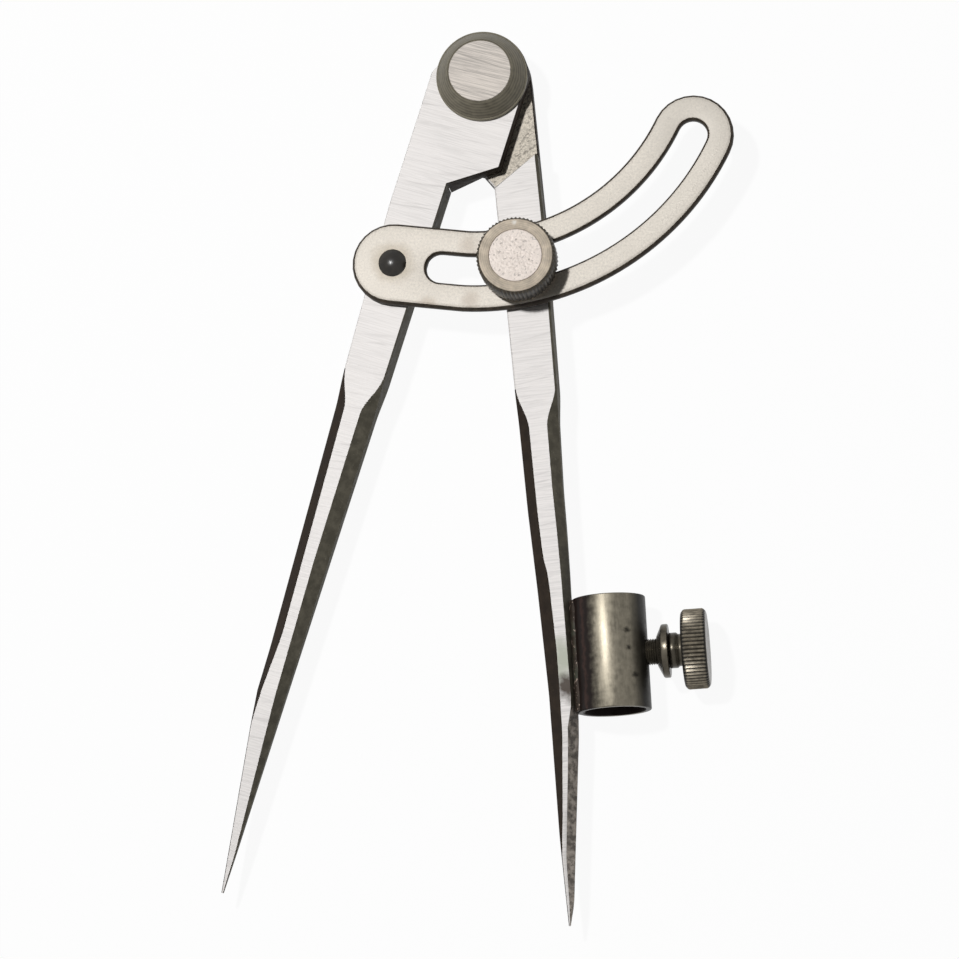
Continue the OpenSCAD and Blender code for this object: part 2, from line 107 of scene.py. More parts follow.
class LegSizes(bpy.types.PropertyGroup):
    """Sizes of the two forged legs, along u from the hinge to the point and outwards along w."""

    half_opening: angle("Half opening", "Angle between each closing line and the middle line", 11.5)
    leg_len: length("Length", "Distance from the hinge to the point", 190.7)
    head_r: length("Head radius", "Radius of the round end of each lap plate", 10.4)
    head_side_u: length("Head side", "Distance from the hinge at which the straight edge begins", 2)
    inner_gap: length("Inner gap", "Distance of each inner edge from the closing line", 0.25)
    left_head: length("Left head", "Outward reach of the left leg beside the hinge", 11.3)
    right_head: length("Right head", "Outward reach of the right leg beside the hinge", 10.5)
    taper_start: length("Taper start", "Distance from the hinge at which the taper begins", 34)
    shoulder_u: length("Shoulder", "Distance from the hinge to the shoulder", 72)
    shoulder_w: length("Shoulder width", "Width of a leg at the shoulder", 9.6)
    point_u: length("Point start", "Distance from the hinge to the drawn point", 146)
    point_w: length("Point width", "Width of a leg where the drawn point begins", 6.5)
    point_t: length("Point thickness", "Thickness of a leg where the drawn point begins", 6.6)
    tip: length("Tip", "Width left at the tip", 0.5)
    edge_break: length("Edge break", "Small bevel on every edge above the shoulder", 0.3)
    bevel_run: length("Bevel run-in", "Length over which the bevels run in", 9)
    dark_top: length("Dark edge, top", "Extra width of the right outer bevel at its step", 0.3)
    dark_foot: length("Dark edge, foot", "Extra width of the right outer bevel at the shoulder", 0.15)
    stud_u: length("Screw hole", "Distance of the clamp screw's hole from the hinge", 44.6)
    stud_w: length("Screw hole, outwards", "Distance of that hole from the closing line", 4.4)
    stud_hole: length("Screw hole diameter", "Diameter of that hole", 5.12)
    rivet_hole: length("Rivet hole", "Diameter of the hinge hole in the rear plate", 8.12)
    lap_u: length("Lap foot", "Distance from the hinge to the foot of the lap", 25.5)
    lap_angle: angle("Lap slope", "Slope of the foot of the lap", 33.7)
    lap_reach: length("Lap reach", "Reach of each lap plate past the closing line", 9.9)
    lap_clear: length("Lap clearance", "Gap between a lap plate and the other leg's step", 0.3)
    rear_foot_u: length("Rear lap foot", "Distance from the hinge to the rear plate's far corner", 23.49)
    rear_reach: length("Rear lap reach", "Reach of that corner past the closing line", 10.2)
    notch_u: length("Rear notch", "Distance from the hinge to the notch in the rear plate's foot", 20.9)
    notch_reach: length("Notch reach", "Distance of that notch past the closing line", 2.6)
    rear_corner_u: length("Rear corner", "Distance from the hinge to the rear plate's inner corner", 25)
    slide_gap: length("Sliding gap", "Gap between flat faces that slide on each other", 0.05)


class HingeSizes(bpy.types.PropertyGroup):
    """Sizes of the hinge rivet and its washers."""

    rivet_d: length("Rivet", "Diameter of the rivet's shank", 8)
    head_d: length("Rivet head", "Diameter of the ground front head", 14)
    head_h: length("Head depth", "Depth over which the rivet head spreads", 2.6)
    rear_d: length("Rear head", "Diameter of the rivet's rear end", 10.4)
    rim: length("Rim", "Height of the front washer's straight rim", 1)
    top_d: length("Washer top", "Diameter of the front washer's flat top", 14.6)
    step: length("Rim step", "Width of the fine step above the rim", 0.35)


class WingSizes(bpy.types.PropertyGroup):
    """Sizes of the slotted wing and its rivet."""

    arc_x: length("Arc centre X", "Place of the arc's centre", -0.83963)
    arc_y: length("Arc centre Y", "Place of the arc's centre", 7.49138)
    arc_r: length("Arc radius", "Radius of the wing's middle line", 52.5)
    slot_from: angle("Slot start", "Angle of the slot's end beside the rivet", -93.79679)
    slot_to: angle("Slot end", "Angle of the slot's far end", -19.84905)
    arc_lead: angle("Straight part", "Angle between the slot's start and the wing's straight part", 6)
    wing_w: length("Width", "Width of the wing", 18.2)
    slot_w: length("Slot", "Width of the slot", 6.6)
    outer_round: length("Outer rounding", "Rounding of the wing's front outer edge", 1.2)
    slot_round: length("Slot rounding", "Rounding of the slot's edges", 0.8)
    rivet_d: length("Rivet", "Diameter of the wing rivet's shank", 3.5)
    dome_d: length("Dome", "Diameter of the wing rivet's dome", 6.2)
    dome_h: length("Dome height", "Height of the wing rivet's dome", 1.4)
    rear_d: length("Rear end", "Diameter of the wing rivet's flush rear end", 5.6)


class KnobSizes(bpy.types.PropertyGroup):
    """Sizes of the clamp knob, its screw and its washer."""

    knob_d: length("Diameter", "Diameter over the knurl", 17.6)
    edge: length("Edge bevel", "Bevel of the knob's edges", 0.6)
    knurl: length("Knurl depth", "Depth of a knurl groove", 0.3)
    ridges: IntProperty(name="Ridges", description="Number of knurl ridges", default=60, min=24, max=90)
    stud_d: length("Screw", "Diameter of the clamp screw", 5)
    disc_d: length("Screw head", "Diameter of the screw's head in the knob", 11.8)
    pit_depth: length("Pits", "Depth of the pits in the screw's head", 0.05)
    face_d: length("Front face", "Diameter of the knob's flat front face", 16.3)
    chamfer: length("Front chamfer", "Depth of the knurled chamfer round the front face", 0.8)


class TubeSizes(bpy.types.PropertyGroup):
    """Sizes of the pencil tube and its braze bead."""

    tube_d: length("Diameter", "Outer diameter of the tube", 16.2)
    wall: length("Wall", "Wall of the tube", 1.3)
    tube_len: length("Length", "Length of the tube", 25)
    rim_round: length("Rim rounding", "Rounding of the tube's ends", 0.25)
    bead_gap: length("Braze gap", "Braze left between the tube and the leg", 0.12)
    bead_h: length("Bead height", "Half height of the braze bead", 3.4)


class ScrewSizes(bpy.types.PropertyGroup):
    """Sizes of the pencil screw, along its axis from the tube outwards."""

    stem_d: length("Stem", "Diameter of the stem", 5.8)
    stem_back: length("Stem end", "Gap between the stem's end and the bore", 0.15)
    pitch: length("Pitch", "Pitch of the stem's thread", 1)
    collar_gap: length("Collar gap", "Gap between the tube and the collar", 2)
    collar_d: length("Collar", "Diameter of the collar", 11.8)
    nose_d: length("Collar nose", "Diameter of the collar's small end", 6.8)
    cone: length("Collar cone", "Length of the collar's cone", 1.3)
    collar_edge: length("Collar edge", "Width of the collar's straight edge", 1.3)
    neck_d: length("Neck", "Diameter of the neck", 7.8)
    neck_len: length("Neck length", "Length of the neck", 3)
    head_d: length("Head", "Diameter over the knurl of the head", 17.6)
    head_t: length("Head thickness", "Thickness of the head", 5.5)
    edge: length("Edge bevel", "Bevel of the head's edges", 0.8)
    knurl: length("Knurl depth", "Depth of a knurl groove", 0.4)
    ridges: IntProperty(name="Ridges", description="Number of knurl ridges", default=60, min=24, max=90)


class Finishes(bpy.types.PropertyGroup):
    """Colours of the metal surfaces."""

    ground: colour("Ground steel", "Bright faces of the legs", (0.765, 0.735, 0.715))
    # Both scales are one dark scale: painted shade where faces turn left, painted light where they turn
    # right
    scale_painted_shade: colour("Black scale", "Dark bevels that face left", (0.026, 0.019, 0.014))
    scale_painted_light: colour("Olive scale", "Dark sides and bevels that face right", (0.105, 0.096, 0.073))
    worn: colour("Worn bevel", "Mottled bevel of the right point", (0.13, 0.115, 0.10))
    seat: colour("Lap seat", "Rough lap surface under the other leg", (0.66, 0.60, 0.51))
    washer: colour("Hinge washer", "Oil-blackened hinge washer", (0.15, 0.135, 0.10))
    rivet: colour("Rivet head", "Ground face of the hinge rivet", (0.50, 0.455, 0.41))
    wing: colour("Wing", "Satin wing", (0.74, 0.685, 0.605))
    # Painted shade on the wing's rounded edges
    wing_edge_painted_shade: colour("Wing edge", "Dark rolled edge of the wing", (0.034, 0.027, 0.020))
    black: colour("Wing rivet", "Blackened rivet", (0.010, 0.008, 0.006))
    knob: colour("Knob", "Front ring of the clamp knob", (0.60, 0.515, 0.41))
    # The knurl colour is made lighter on the knob's chamfer as painted light and darker on its side as
    # painted shade
    knurl: colour("Knurl", "Dark knurled side of the clamp knob", (0.045, 0.038, 0.028))
    disc: colour("Screw head", "Pale disc in the clamp knob", (0.72, 0.64, 0.58))
    tube: colour("Tube", "Bare steel of the pencil tube", (0.15, 0.135, 0.105))
    # Also painted dark reflection on the tube's brazed side and painted shade in its bore
    heat_scale_and_shade: colour("Heat scale", "Brown scale on the brazed side of the tube", (0.010, 0.006, 0.005))
    braze: colour("Braze", "Darkened braze bead", (0.022, 0.016, 0.012))
    screw: colour("Pencil screw", "Dark turned steel", (0.072, 0.063, 0.048))


class StageSizes(bpy.types.PropertyGroup):
    """The floor, the lamps and the camera."""

    floor_size: length("Floor", "Side of the floor", 4000)
    key_power: FloatProperty(name="Key lamp", description="Power of the key lamp", default=8.5, unit="POWER")
    fill_power: FloatProperty(
        name="Fill lamp", description="Power of the fill lamp", default=0.1, unit="POWER"
    )
    ambient: FloatProperty(name="Ambient", description="Strength of the room's own light", default=0.02)
    focal: FloatProperty(
        name="Focal length", description="Focal length on a 36 mm sensor, in millimetres", default=175.7
    )
    camera_place: FloatVectorProperty(
        name="Camera", description="Place of the camera", size=3, subtype="TRANSLATION",
        default=(0.1445, -0.2687, 1.0161),
    )
    aim: FloatVectorProperty(
        name="Aim", description="Point that the camera looks at", size=3, subtype="TRANSLATION",
        default=(0.00893, -0.09124, 0.0097),
    )
    camera_up: FloatVectorProperty(
        name="Camera up", description="Direction that is up in the picture", size=3, subtype="DIRECTION",
        default=(-0.08106, 0.97964, 0.18367),
    )


# Mesh helpers

def next_ring(bm, ring, places):
    """Extrudes a closed ring of vertices to new places and returns the new ring."""
    edges = [bm.edges.get((ring[i - 1], ring[i])) for i in range(len(ring))]
    made = bmesh.ops.extrude_edge_only(bm, edges=edges)["geom"]
    fresh = {item for item in made if isinstance(item, bmesh.types.BMVert)}
    new_ring = [next(e.other_vert(v) for e in v.link_edges if e.other_vert(v) in fresh) for v in ring]
    for new, place in zip(new_ring, places):
        new.co = place
    return new_ring


def with_borders(faces):
    """Faces together with their edges and vertices."""
    return faces + list({e for f in faces for e in f.edges} | {v for f in faces for v in f.verts})


def ordered_loop(edges):
    """The vertices of a closed loop of edges, in their order round it."""
    left = list(dict.fromkeys(edges))
    edge = left.pop(0)
    ring = [edge.verts[0]]
    while left:
        vert = edge.other_vert(ring[-1])
        ring.append(vert)
        edge = next(e for e in vert.link_edges if e in left)
        left.remove(edge)
    return ring


def first_ring(bm, places):
    """Starts a mesh with a closed ring of vertices."""
    circle = bmesh.ops.create_circle(bm, cap_ends=False, radius=1, segments=len(places))["verts"]
    ring = ordered_loop([edge for vert in circle for edge in vert.link_edges])
    for vert, place in zip(ring, places):
        vert.co = place
    return ring


def cap(bm, ring):
    """Closes a ring with one face."""
    bmesh.ops.contextual_create(bm, geom=ring)


def lofted(rings, ring_shaped):
    """A solid through rings of places, with its ends joined to each other or capped."""
    bm = bmesh.new()
    first = first_ring(bm, rings[0])
    last = first
    for places in rings[1:]:
        last = next_ring(bm, last, places)
    if ring_shaped:
        loops = [bm.edges.get((ring[i - 1], ring[i])) for ring in (first, last) for i in range(len(ring))]
        bmesh.ops.bridge_loops(bm, edges=loops)
    else:
        cap(bm, last)
        cap(bm, first)
    return bm


def soften(bm, width, segments=2, sharper_than=30, keep=lambda edge: True):
    """Bevels the edges that are sharper than an angle in degrees."""
    limit = math.radians(sharper_than)
    sharp = [e for e in bm.edges if e.is_manifold and e.calc_face_angle() > limit and keep(e)]
    bmesh.ops.bevel(
        bm, geom=sharp, offset=width, offset_type="OFFSET", segments=segments, profile=0.5,
        affect="EDGES", clamp_overlap=True, material=-1,
    )


def spun(points, steps=96):
    """A solid turned about Z from a profile of (radius, height) points that starts and ends on the axis."""
    bm = bmesh.new()
    verts = [bm.verts.new((r, 0, z)) for r, z in points]
    edges = [bm.edges.new(pair) for pair in zip(verts, verts[1:])]
    bmesh.ops.spin(
        bm, geom=verts + edges, cent=(0, 0, 0), axis=(0, 0, 1), angle=FULL_TURN, steps=steps, use_merge=True
    )
    bmesh.ops.remove_doubles(bm, verts=bm.verts, dist=TOUCHING)
    bmesh.ops.recalc_face_normals(bm, faces=bm.faces)
    return bm


def corners(radius, z, shifts):
    """Points of a profile near a radius and a height, shifted outwards and upwards in millimetres."""
    return [(radius + out * MM, z + up * MM) for out, up in shifts]


def eased_rim(radius, low, high):
    """Points of a straight rim between two heights, with eased corners."""
    return [(radius - EASE, low), (radius, low + EASE), (radius, high - EASE), (radius - EASE, high)]


def spun_ring(points, steps=96):
    """A ring turned about Z from a closed profile of (radius, height) points."""
    return spun(points + points[:1], steps)


def make_piece(bm, name, body, nodes, materials, place=None, smooth_angle=38, material_of=None):
    """Turns a bmesh into a finished piece that rides on a body and stands for CAD nodes."""
    if place is not None:
        bmesh.ops.transform(bm, matrix=place, verts=bm.verts)
    bmesh.ops.remove_doubles(bm, verts=bm.verts, dist=TOUCHING)
    bmesh.ops.recalc_face_normals(bm, faces=bm.faces)
    bm.normal_update()
    if not all(edge.is_manifold for edge in bm.edges):
        raise RuntimeError(f"{name} isn't a closed mesh")
    for face in bm.faces:
        face.smooth = True
        if material_of is not None:
            face.material_index = material_of(face)
    mesh = bpy.data.meshes.new(name)
    bm.to_mesh(mesh)
    bm.free()
    mesh.set_sharp_from_angle(angle=math.radians(smooth_angle))
    for material in materials:
        mesh.materials.append(material)
    piece = bpy.data.objects.new(name, mesh)
    bpy.context.scene.collection.objects.link(piece)
    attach(piece, body)
    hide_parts(*nodes)
    return piece


def blend(a, b, share):
    """The value between a and b at a share of the way."""
    return a + (b - a) * share


def share_of(value, start, end):
    """How far a value lies between two others, as a share."""
    return (value - start) / (end - start)


def frame_at(place, x_axis, z_axis):
    """A frame at a place, from the directions of its x and z axes."""
    turn = Matrix((x_axis, z_axis.cross(x_axis), z_axis)).transposed().to_4x4()
    return Matrix.Translation(Vector(place)) @ turn


def axis_distance(face, place):
    """Distance of a face's middle from the z axis of a frame."""
    return (place.inverted() @ face.calc_center_median()).to_2d().length


def arc_points(centre, radius, start, end, count):
    """Points along an arc, both ends included."""
    return [
        (centre[0] + radius * math.cos(blend(start, end, i / count)),
         centre[1] + radius * math.sin(blend(start, end, i / count)))
        for i in range(count + 1)
    ]


# Materials

def add_node(tree, kind, inputs=None, **settings):
    """Adds a node, sets it up and joins or fills its inputs."""
    made = tree.nodes.new(kind)
    for key, value in settings.items():
        setattr(made, key, value)
    for key, value in (inputs or {}).items():
        fill(tree, made.inputs[key], value)
    return made


def fill(tree, socket, value):
    """Joins a socket to another, or sets its value; a colour may be given without its alpha."""
    if isinstance(value, bpy.types.NodeSocket):
        tree.links.new(value, socket)
    elif socket.type == "RGBA":
        socket.default_value = (*value[:3], 1)
    else:
        socket.default_value = value


def by_sight(tree, unseen, seen):
    """One value for rays from the camera, off a gloss or through glass, and another for the rest."""
    paths = add_node(tree, "ShaderNodeLightPath").outputs
    total = paths["Is Camera Ray"]
    for name in ("Is Glossy Ray", "Is Transmission Ray"):
        total = add_node(tree, "ShaderNodeMath", {0: total, 1: paths[name]}).outputs[0]
    levels = add_node(tree, "ShaderNodeMapRange", {"Value": total, "To Min": unseen, "To Max": seen})
    return levels.outputs[0]


class Surface:
    """A material being built: its node tree, its shader and its object coordinates."""

    def __init__(self, name, metallic, specular=0.5):
        self.material = bpy.data.materials.new(name)
        self.material.use_nodes = True
        self.tree = self.material.node_tree
        self.shader = self.tree.nodes["Principled BSDF"]
        self.shader.inputs["Metallic"].default_value = metallic
        self.shader.inputs["Specular IOR Level"].default_value = specular
        self.coords = self.tree.nodes.new("ShaderNodeTexCoord").outputs["Object"]

    def node(self, kind, inputs=None, **settings):
        """Adds a node to this material."""
        return add_node(self.tree, kind, inputs, **settings)

    def placed(self, centre=(0, 0, 0), turn=0, stretch=(1, 1, 1)):
        """Object coordinates moved to a centre, turned about Z in radians and then stretched."""
        at_centre = self.about(centre, (0, 0, turn))
        return self.node("ShaderNodeMapping", {"Vector": at_centre, "Scale": stretch}).outputs[0]

    def about(self, place, turn):
        """Object coordinates about an axis through a place, which becomes Z."""
        return self.node(
            "ShaderNodeMapping", {"Vector": self.coords, "Location": place, "Rotation": turn},
            vector_type="TEXTURE",
        ).outputs[0]

    def grain(self, grain_size, vector=None, detail=3.0, roughness=0.55):
        """Noise from 0 to 1 whose grains measure about grain_size."""
        return self.node(
            "ShaderNodeTexNoise",
            {
                "Vector": vector or self.coords, "Scale": 1 / grain_size,
                "Detail": detail, "Roughness": roughness,
            },
        ).outputs["Fac"]

    def levels(self, value, low, high, to_low=0.0, to_high=1.0):
        """Maps a value's range to another, kept within it."""
        return self.node(
            "ShaderNodeMapRange",
            {"Value": value, "From Min": low, "From Max": high, "To Min": to_low, "To Max": to_high},
        ).outputs[0]

    def mixed(self, share, first, second):
        """Mixes two colours by a share."""
        return self.node("ShaderNodeMix", {0: share, 6: first, 7: second}, data_type="RGBA").outputs[2]

    def toned(self, value, low, high, colour, darker, lighter):
        """Shades of a colour over a value's range, from a darker to a lighter factor."""
        return self.mixed(self.levels(value, low, high), shade(colour, darker), shade(colour, lighter))

    def marked(self, base, value, low, high, strength, colour):
        """Lays a colour over another, up to a strength, where a value goes from low to high."""
        return self.mixed(self.levels(value, low, high, 0, strength), base, colour)

    def sums(self, first, second, operation="ADD"):
        """Adds two values, or joins them by another operation."""
        return self.node("ShaderNodeMath", {0: first, 1: second}, operation=operation).outputs[0]

    def near(self, place, reach, ragged=0.5):
        """1 at a place (x, y), falling to 0 at a ragged distance from it."""
        flat = self.placed(stretch=(1, 1, 0))
        away = self.node(
            "ShaderNodeVectorMath", {0: flat, 1: (*place, 0)}, operation="DISTANCE"
        ).outputs["Value"]
        wander = self.sums(self.grain(reach / 2, detail=4.0), 2 * ragged * reach, "MULTIPLY")
        total = self.sums(away, wander)
        return self.levels(total, (0.3 + ragged) * reach, (1 + ragged) * reach, 1.0, 0.0)

    def stained(self, base, stains):
        """Lays stains over a colour, each given as x, y and reach in millimetres, colour and strength."""
        for x, y, reach, colour, strength in stains:
            share = self.sums(self.near((x * MM, y * MM), reach * MM), strength, "MULTIPLY")
            base = self.mixed(share, base, colour)
        return base

    def finish(self, colour, roughness, height=None, depth=0.00005, strength=0.5):
        """Joins colour, roughness and relief to the shader and returns the material."""
        fill(self.tree, self.shader.inputs["Base Color"], colour)
        fill(self.tree, self.shader.inputs["Roughness"], roughness)
        if height is not None:
            bump = self.node("ShaderNodeBump", {"Height": height, "Distance": depth, "Strength": strength})
            self.tree.links.new(bump.outputs[0], self.shader.inputs["Normal"])
        return self.material


def shade(colour, factor):
    """A colour made darker or lighter."""
    return tuple(min(1.0, part * factor) for part in colour)


def ground_steel(name, colour, turn, stains=()):
    """Bright ground steel with fine lines across the leg and sparse darker marks."""
    surface = Surface(name, metallic=0.05, specular=0.2)
    across = surface.placed(turn=turn, stretch=(0.10, 3.2, 1.0))
    lines = surface.grain(0.0011, across, detail=5.0, roughness=0.75)
    slanted = surface.placed(turn=turn + 0.12, stretch=(0.20, 3.6, 1.0))
    marks = surface.grain(0.0034, slanted, detail=3.0, roughness=0.65)
    patches = surface.grain(0.014, detail=2.0)
    lined = surface.toned(lines, 0.38, 0.60, colour, 0.80, 1.06)
    marked = surface.marked(lined, marks, 0.58, 0.70, 0.6, shade(colour, 0.62))
    lit = surface.marked(marked, patches, 0.35, 0.7, 0.35, shade(colour, 1.05))
    tone = surface.stained(lit, stains)
    rough = surface.levels(lines, 0.3, 0.7, 0.42, 0.56)
    return surface.finish(tone, rough, lines, depth=0.00002, strength=0.35)


def dark_scale_and_painted_shade(name, colour):
    """Dark scale on the forged sides and bevels, with rubbed spots; near black in the pencil tube's bore, as
    painted shade.
    """
    surface = Surface(name, metallic=0.0, specular=0.10)
    mottle = surface.grain(0.0022, detail=5.0)
    spots = surface.grain(0.0007, detail=4.0)
    base = surface.toned(mottle, 0.4, 0.75, colour, 0.8, 1.5)
    tone = surface.marked(base, spots, 0.64, 0.78, 0.5, shade(colour, 3.2))
    rough = surface.levels(mottle, 0.3, 0.7, 0.5, 0.75)
    return surface.finish(tone, rough, surface.sums(mottle, spots), depth=0.00008, strength=0.5)


def worn_bevel(name, colour):
    """A bevel whose scale is partly worn off: mottled steel with dark specks."""
    surface = Surface(name, metallic=0.05, specular=0.2)
    patches = surface.grain(0.0014, detail=4.0)
    specks = surface.grain(0.0006, detail=3.0)
    base = surface.toned(patches, 0.40, 0.64, colour, 0.8, 2.9)
    tone = surface.marked(base, specks, 0.58, 0.66, 0.7, shade(colour, 0.35))
    return surface.finish(tone, 0.5, specks, depth=0.00005, strength=0.4)


def rough_seat(name, colour):
    """The coarse lap surface, pebbled, with short slanting strokes."""
    surface = Surface(name, metallic=0.05, specular=0.15)
    slanted = surface.placed(turn=math.radians(40), stretch=(0.8, 1.5, 1.0))
    strokes = surface.grain(0.0008, slanted, detail=3.0, roughness=0.6)
    fine = surface.grain(0.0004, detail=3.0)
    base = surface.toned(fine, 0.35, 0.65, colour, 0.70, 1.15)
    tone = surface.marked(base, strokes, 0.52, 0.64, 0.75, shade(colour, 0.30))
    return surface.finish(tone, 0.6, surface.sums(fine, strokes, "SUBTRACT"), depth=0.0001, strength=0.5)


def turned_steel(
    name, colour, axis_place, axis_turn=(0, 0, 0), spacing=0.00045, contrast=0.45, metallic=0.2, stains=(),
    specular=0.25, roughness=(0.34, 0.50),
):
    """Dark turned steel with fine rings round an axis."""
    surface = Surface(name, metallic=metallic, specular=specular)
    about_axis = surface.about(axis_place, axis_turn)
    ring_scale = FULL_TURN / (20 * spacing)
    rings = surface.node(
        "ShaderNodeTexWave",
        {"Vector": about_axis, "Scale": ring_scale, "Distortion": 2.2, "Detail": 3.0, "Detail Scale": 0.6},
        wave_type="RINGS", rings_direction="Z",
    ).outputs["Fac"]
    mottle = surface.grain(0.0016, detail=5.0)
    mix = surface.sums(surface.sums(rings, contrast, "MULTIPLY"), mottle)
    lined = surface.toned(mix, 0.35, 1.0, colour, 0.66, 1.35)
    tone = surface.stained(lined, stains)
    rough = surface.levels(mottle, 0.3, 0.7, *roughness)
    return surface.finish(tone, rough, mix, depth=0.00003, strength=0.4)


def knurl_with_painted_light(name, colour, axis_place, axis_turn, ridge_r, depth):
    """A knurled side: grooves painted dark as shade, ridges painted light as highlight and rubbed in
    patches.
    """
    surface = Surface(name, metallic=0.5, specular=0.3)
    about_axis = surface.about(axis_place, axis_turn)
    across = surface.node("ShaderNodeMapping", {"Vector": about_axis, "Scale": (1, 1, 0)}).outputs[0]
    from_axis = surface.node("ShaderNodeVectorMath", {0: across}, operation="LENGTH").outputs["Value"]
    mottle = surface.grain(0.0014, detail=4.0)
    # Painted shade in the grooves and painted highlight on the ridges, by distance from the axis
    ridge = surface.levels(from_axis, ridge_r - depth, ridge_r - 0.25 * depth)
    rubbed = surface.sums(ridge, surface.levels(mottle, 0.35, 0.6, 0.45, 1.0), "MULTIPLY")
    tone = surface.mixed(rubbed, shade(colour, 0.12), shade(colour, 3.3))
    return surface.finish(tone, 0.36, mottle, depth=0.00003, strength=0.4)


def scratched_disc(name, colour, turn):
    """The rivet's ground head: nearly parallel scratches with some deeper ones."""
    surface = Surface(name, metallic=0.05, specular=0.25)
    along = surface.placed(turn=turn, stretch=(0.10, 4.0, 1.0))
    fine = surface.grain(0.0011, along, detail=5.0, roughness=0.75)
    coarse = surface.grain(
        0.0024, surface.placed(turn=turn - 0.10, stretch=(0.12, 3.6, 1.0)), detail=3.0, roughness=0.6
    )
    base = surface.toned(fine, 0.38, 0.60, colour, 0.62, 1.30)
    tone = surface.marked(base, coarse, 0.54, 0.68, 0.6, shade(colour, 0.36))
    rough = surface.levels(fine, 0.3, 0.7, 0.36, 0.52)
    return surface.finish(tone, rough, fine, depth=0.00003, strength=0.4)


def satin_wing(name, colour, rivet_place, stains):
    """Satin, grainy steel with speckled stains and a halo of old oil round the rivet."""
    surface = Surface(name, metallic=0.04, specular=0.25)
    fine = surface.grain(0.0005, detail=4.0, roughness=0.75)
    blotch = surface.grain(0.0045, detail=4.0)
    speckle = surface.grain(0.0011, detail=4.0, roughness=0.7)
    base = surface.toned(fine, 0.34, 0.66, colour, 0.78, 1.12)
    toned = surface.marked(base, blotch, 0.45, 0.7, 0.35, shade(colour, 0.86))
    stained = surface.stained(toned, stains)
    speckled = surface.marked(stained, speckle, 0.64, 0.74, 0.4, shade(colour, 0.45))
    halo = surface.sums(surface.near(rivet_place, OIL_REACH, ragged=0.3), OIL_STRENGTH, "MULTIPLY")
    tone = surface.mixed(halo, speckled, OIL_COLOUR)
    rough = surface.levels(fine, 0.3, 0.7, 0.40, 0.56)
    return surface.finish(tone, rough, surface.sums(fine, blotch), depth=0.00004, strength=0.5)


def blackened_and_painted_shade(name, colour, specular=0.12, roughness=0.5):
    """Blackened steel, also used as painted shade on the wing's rounded edges."""
    surface = Surface(name, metallic=0.0, specular=specular)
    mottle = surface.grain(0.0012, detail=4.0)
    tone = surface.mixed(surface.levels(mottle, 0.4, 0.75), colour, shade(colour, 2.4))
    return surface.finish(tone, roughness, mottle, depth=0.00004, strength=0.4)


def pitted_disc(name, colour):
    """The clamp screw's pale head, with small darkened pits."""
    surface = Surface(name, metallic=0.05, specular=0.25)
    fine = surface.grain(0.0004, detail=4.0)
    pits = surface.grain(0.0007, detail=3.0, roughness=0.6)
    clouds = surface.grain(0.0036, detail=3.0)
    base = surface.toned(fine, 0.3, 0.7, colour, 0.90, 1.08)
    cloudy = surface.marked(base, clouds, 0.45, 0.65, 0.35, shade(colour, 0.74))
    tone = surface.marked(cloudy, pits, 0.58, 0.66, 0.7, shade(colour, 0.36))
    return surface.finish(tone, 0.46, surface.sums(fine, pits, "SUBTRACT"), depth=0.00005, strength=0.5)


def drawn_tube(name, colour, heat_scale_and_shade, centre, heading, radius, pits):
    """Drawn tube with lengthwise grain, a dark brown band on the brazed side that is braze scale and painted
    dark reflection, painted shade along the side towards the screw, and a few pits.
    """
    bare_metallic = 0.8
    surface = Surface(name, metallic=bare_metallic, specular=0.15)
    along = surface.placed(turn=heading, stretch=(1.0, 0.16, 1.0))
    streak = surface.grain(0.0009, along, detail=4.0, roughness=0.7)
    mottle = surface.grain(0.0014, detail=5.0)
    mix = surface.sums(surface.sums(streak, 0.5, "MULTIPLY"), surface.sums(mottle, 0.5, "MULTIPLY"))
    base = surface.toned(mix, 0.36, 0.64, colour, 0.75, 1.3)
    # Bands across the tube, as shares of its radius from -1 at the leg to 1 at the screw: braze scale with
    # painted dark reflection at the leg, painted shade near the screw
    local = surface.placed(centre=centre, turn=heading)
    out = surface.node("ShaderNodeSeparateXYZ", {"Vector": local}).outputs["X"]
    wandering = surface.sums(out, surface.sums(mottle, 0.25 * radius, "MULTIPLY"))
    # Brown braze scale spread over the leg's side as painted dark reflection
    scale = surface.levels(wandering, -0.42 * radius, -0.18 * radius, 1.0, 0.0)
    heated = surface.mixed(scale, base, heat_scale_and_shade)
    from_line = surface.sums(surface.sums(wandering, 0.56 * radius), 0.0, "ABSOLUTE")
    red = surface.levels(from_line, 0.0, 0.06 * radius, 0.6, 0.0)
    reddened = surface.mixed(red, heated, (0.060, 0.032, 0.026))
    # Painted shade along the side towards the screw
    edge = surface.levels(out, 0.60 * radius, 0.86 * radius, 0.0, 1.0)
    tube_with_rim_shade = surface.mixed(edge, reddened, shade(colour, 0.12))
    unheated = surface.sums(1.0, scale, "SUBTRACT")
    clear_of_rim_shade = surface.sums(1.0, edge, "SUBTRACT")
    bare = surface.sums(unheated, clear_of_rim_shade, "MULTIPLY")
    metallic = surface.sums(bare, bare_metallic, "MULTIPLY")
    fill(surface.tree, surface.shader.inputs["Metallic"], metallic)
    tone = surface.stained(tube_with_rim_shade, [(x, y, reach, shade(colour, 0.12), 0.9) for x, y, reach in pits])
    rough = surface.levels(mix, 0.36, 0.64, 0.32, 0.45)
    return surface.finish(tone, rough, surface.sums(mottle, streak), depth=0.00003, strength=0.4)


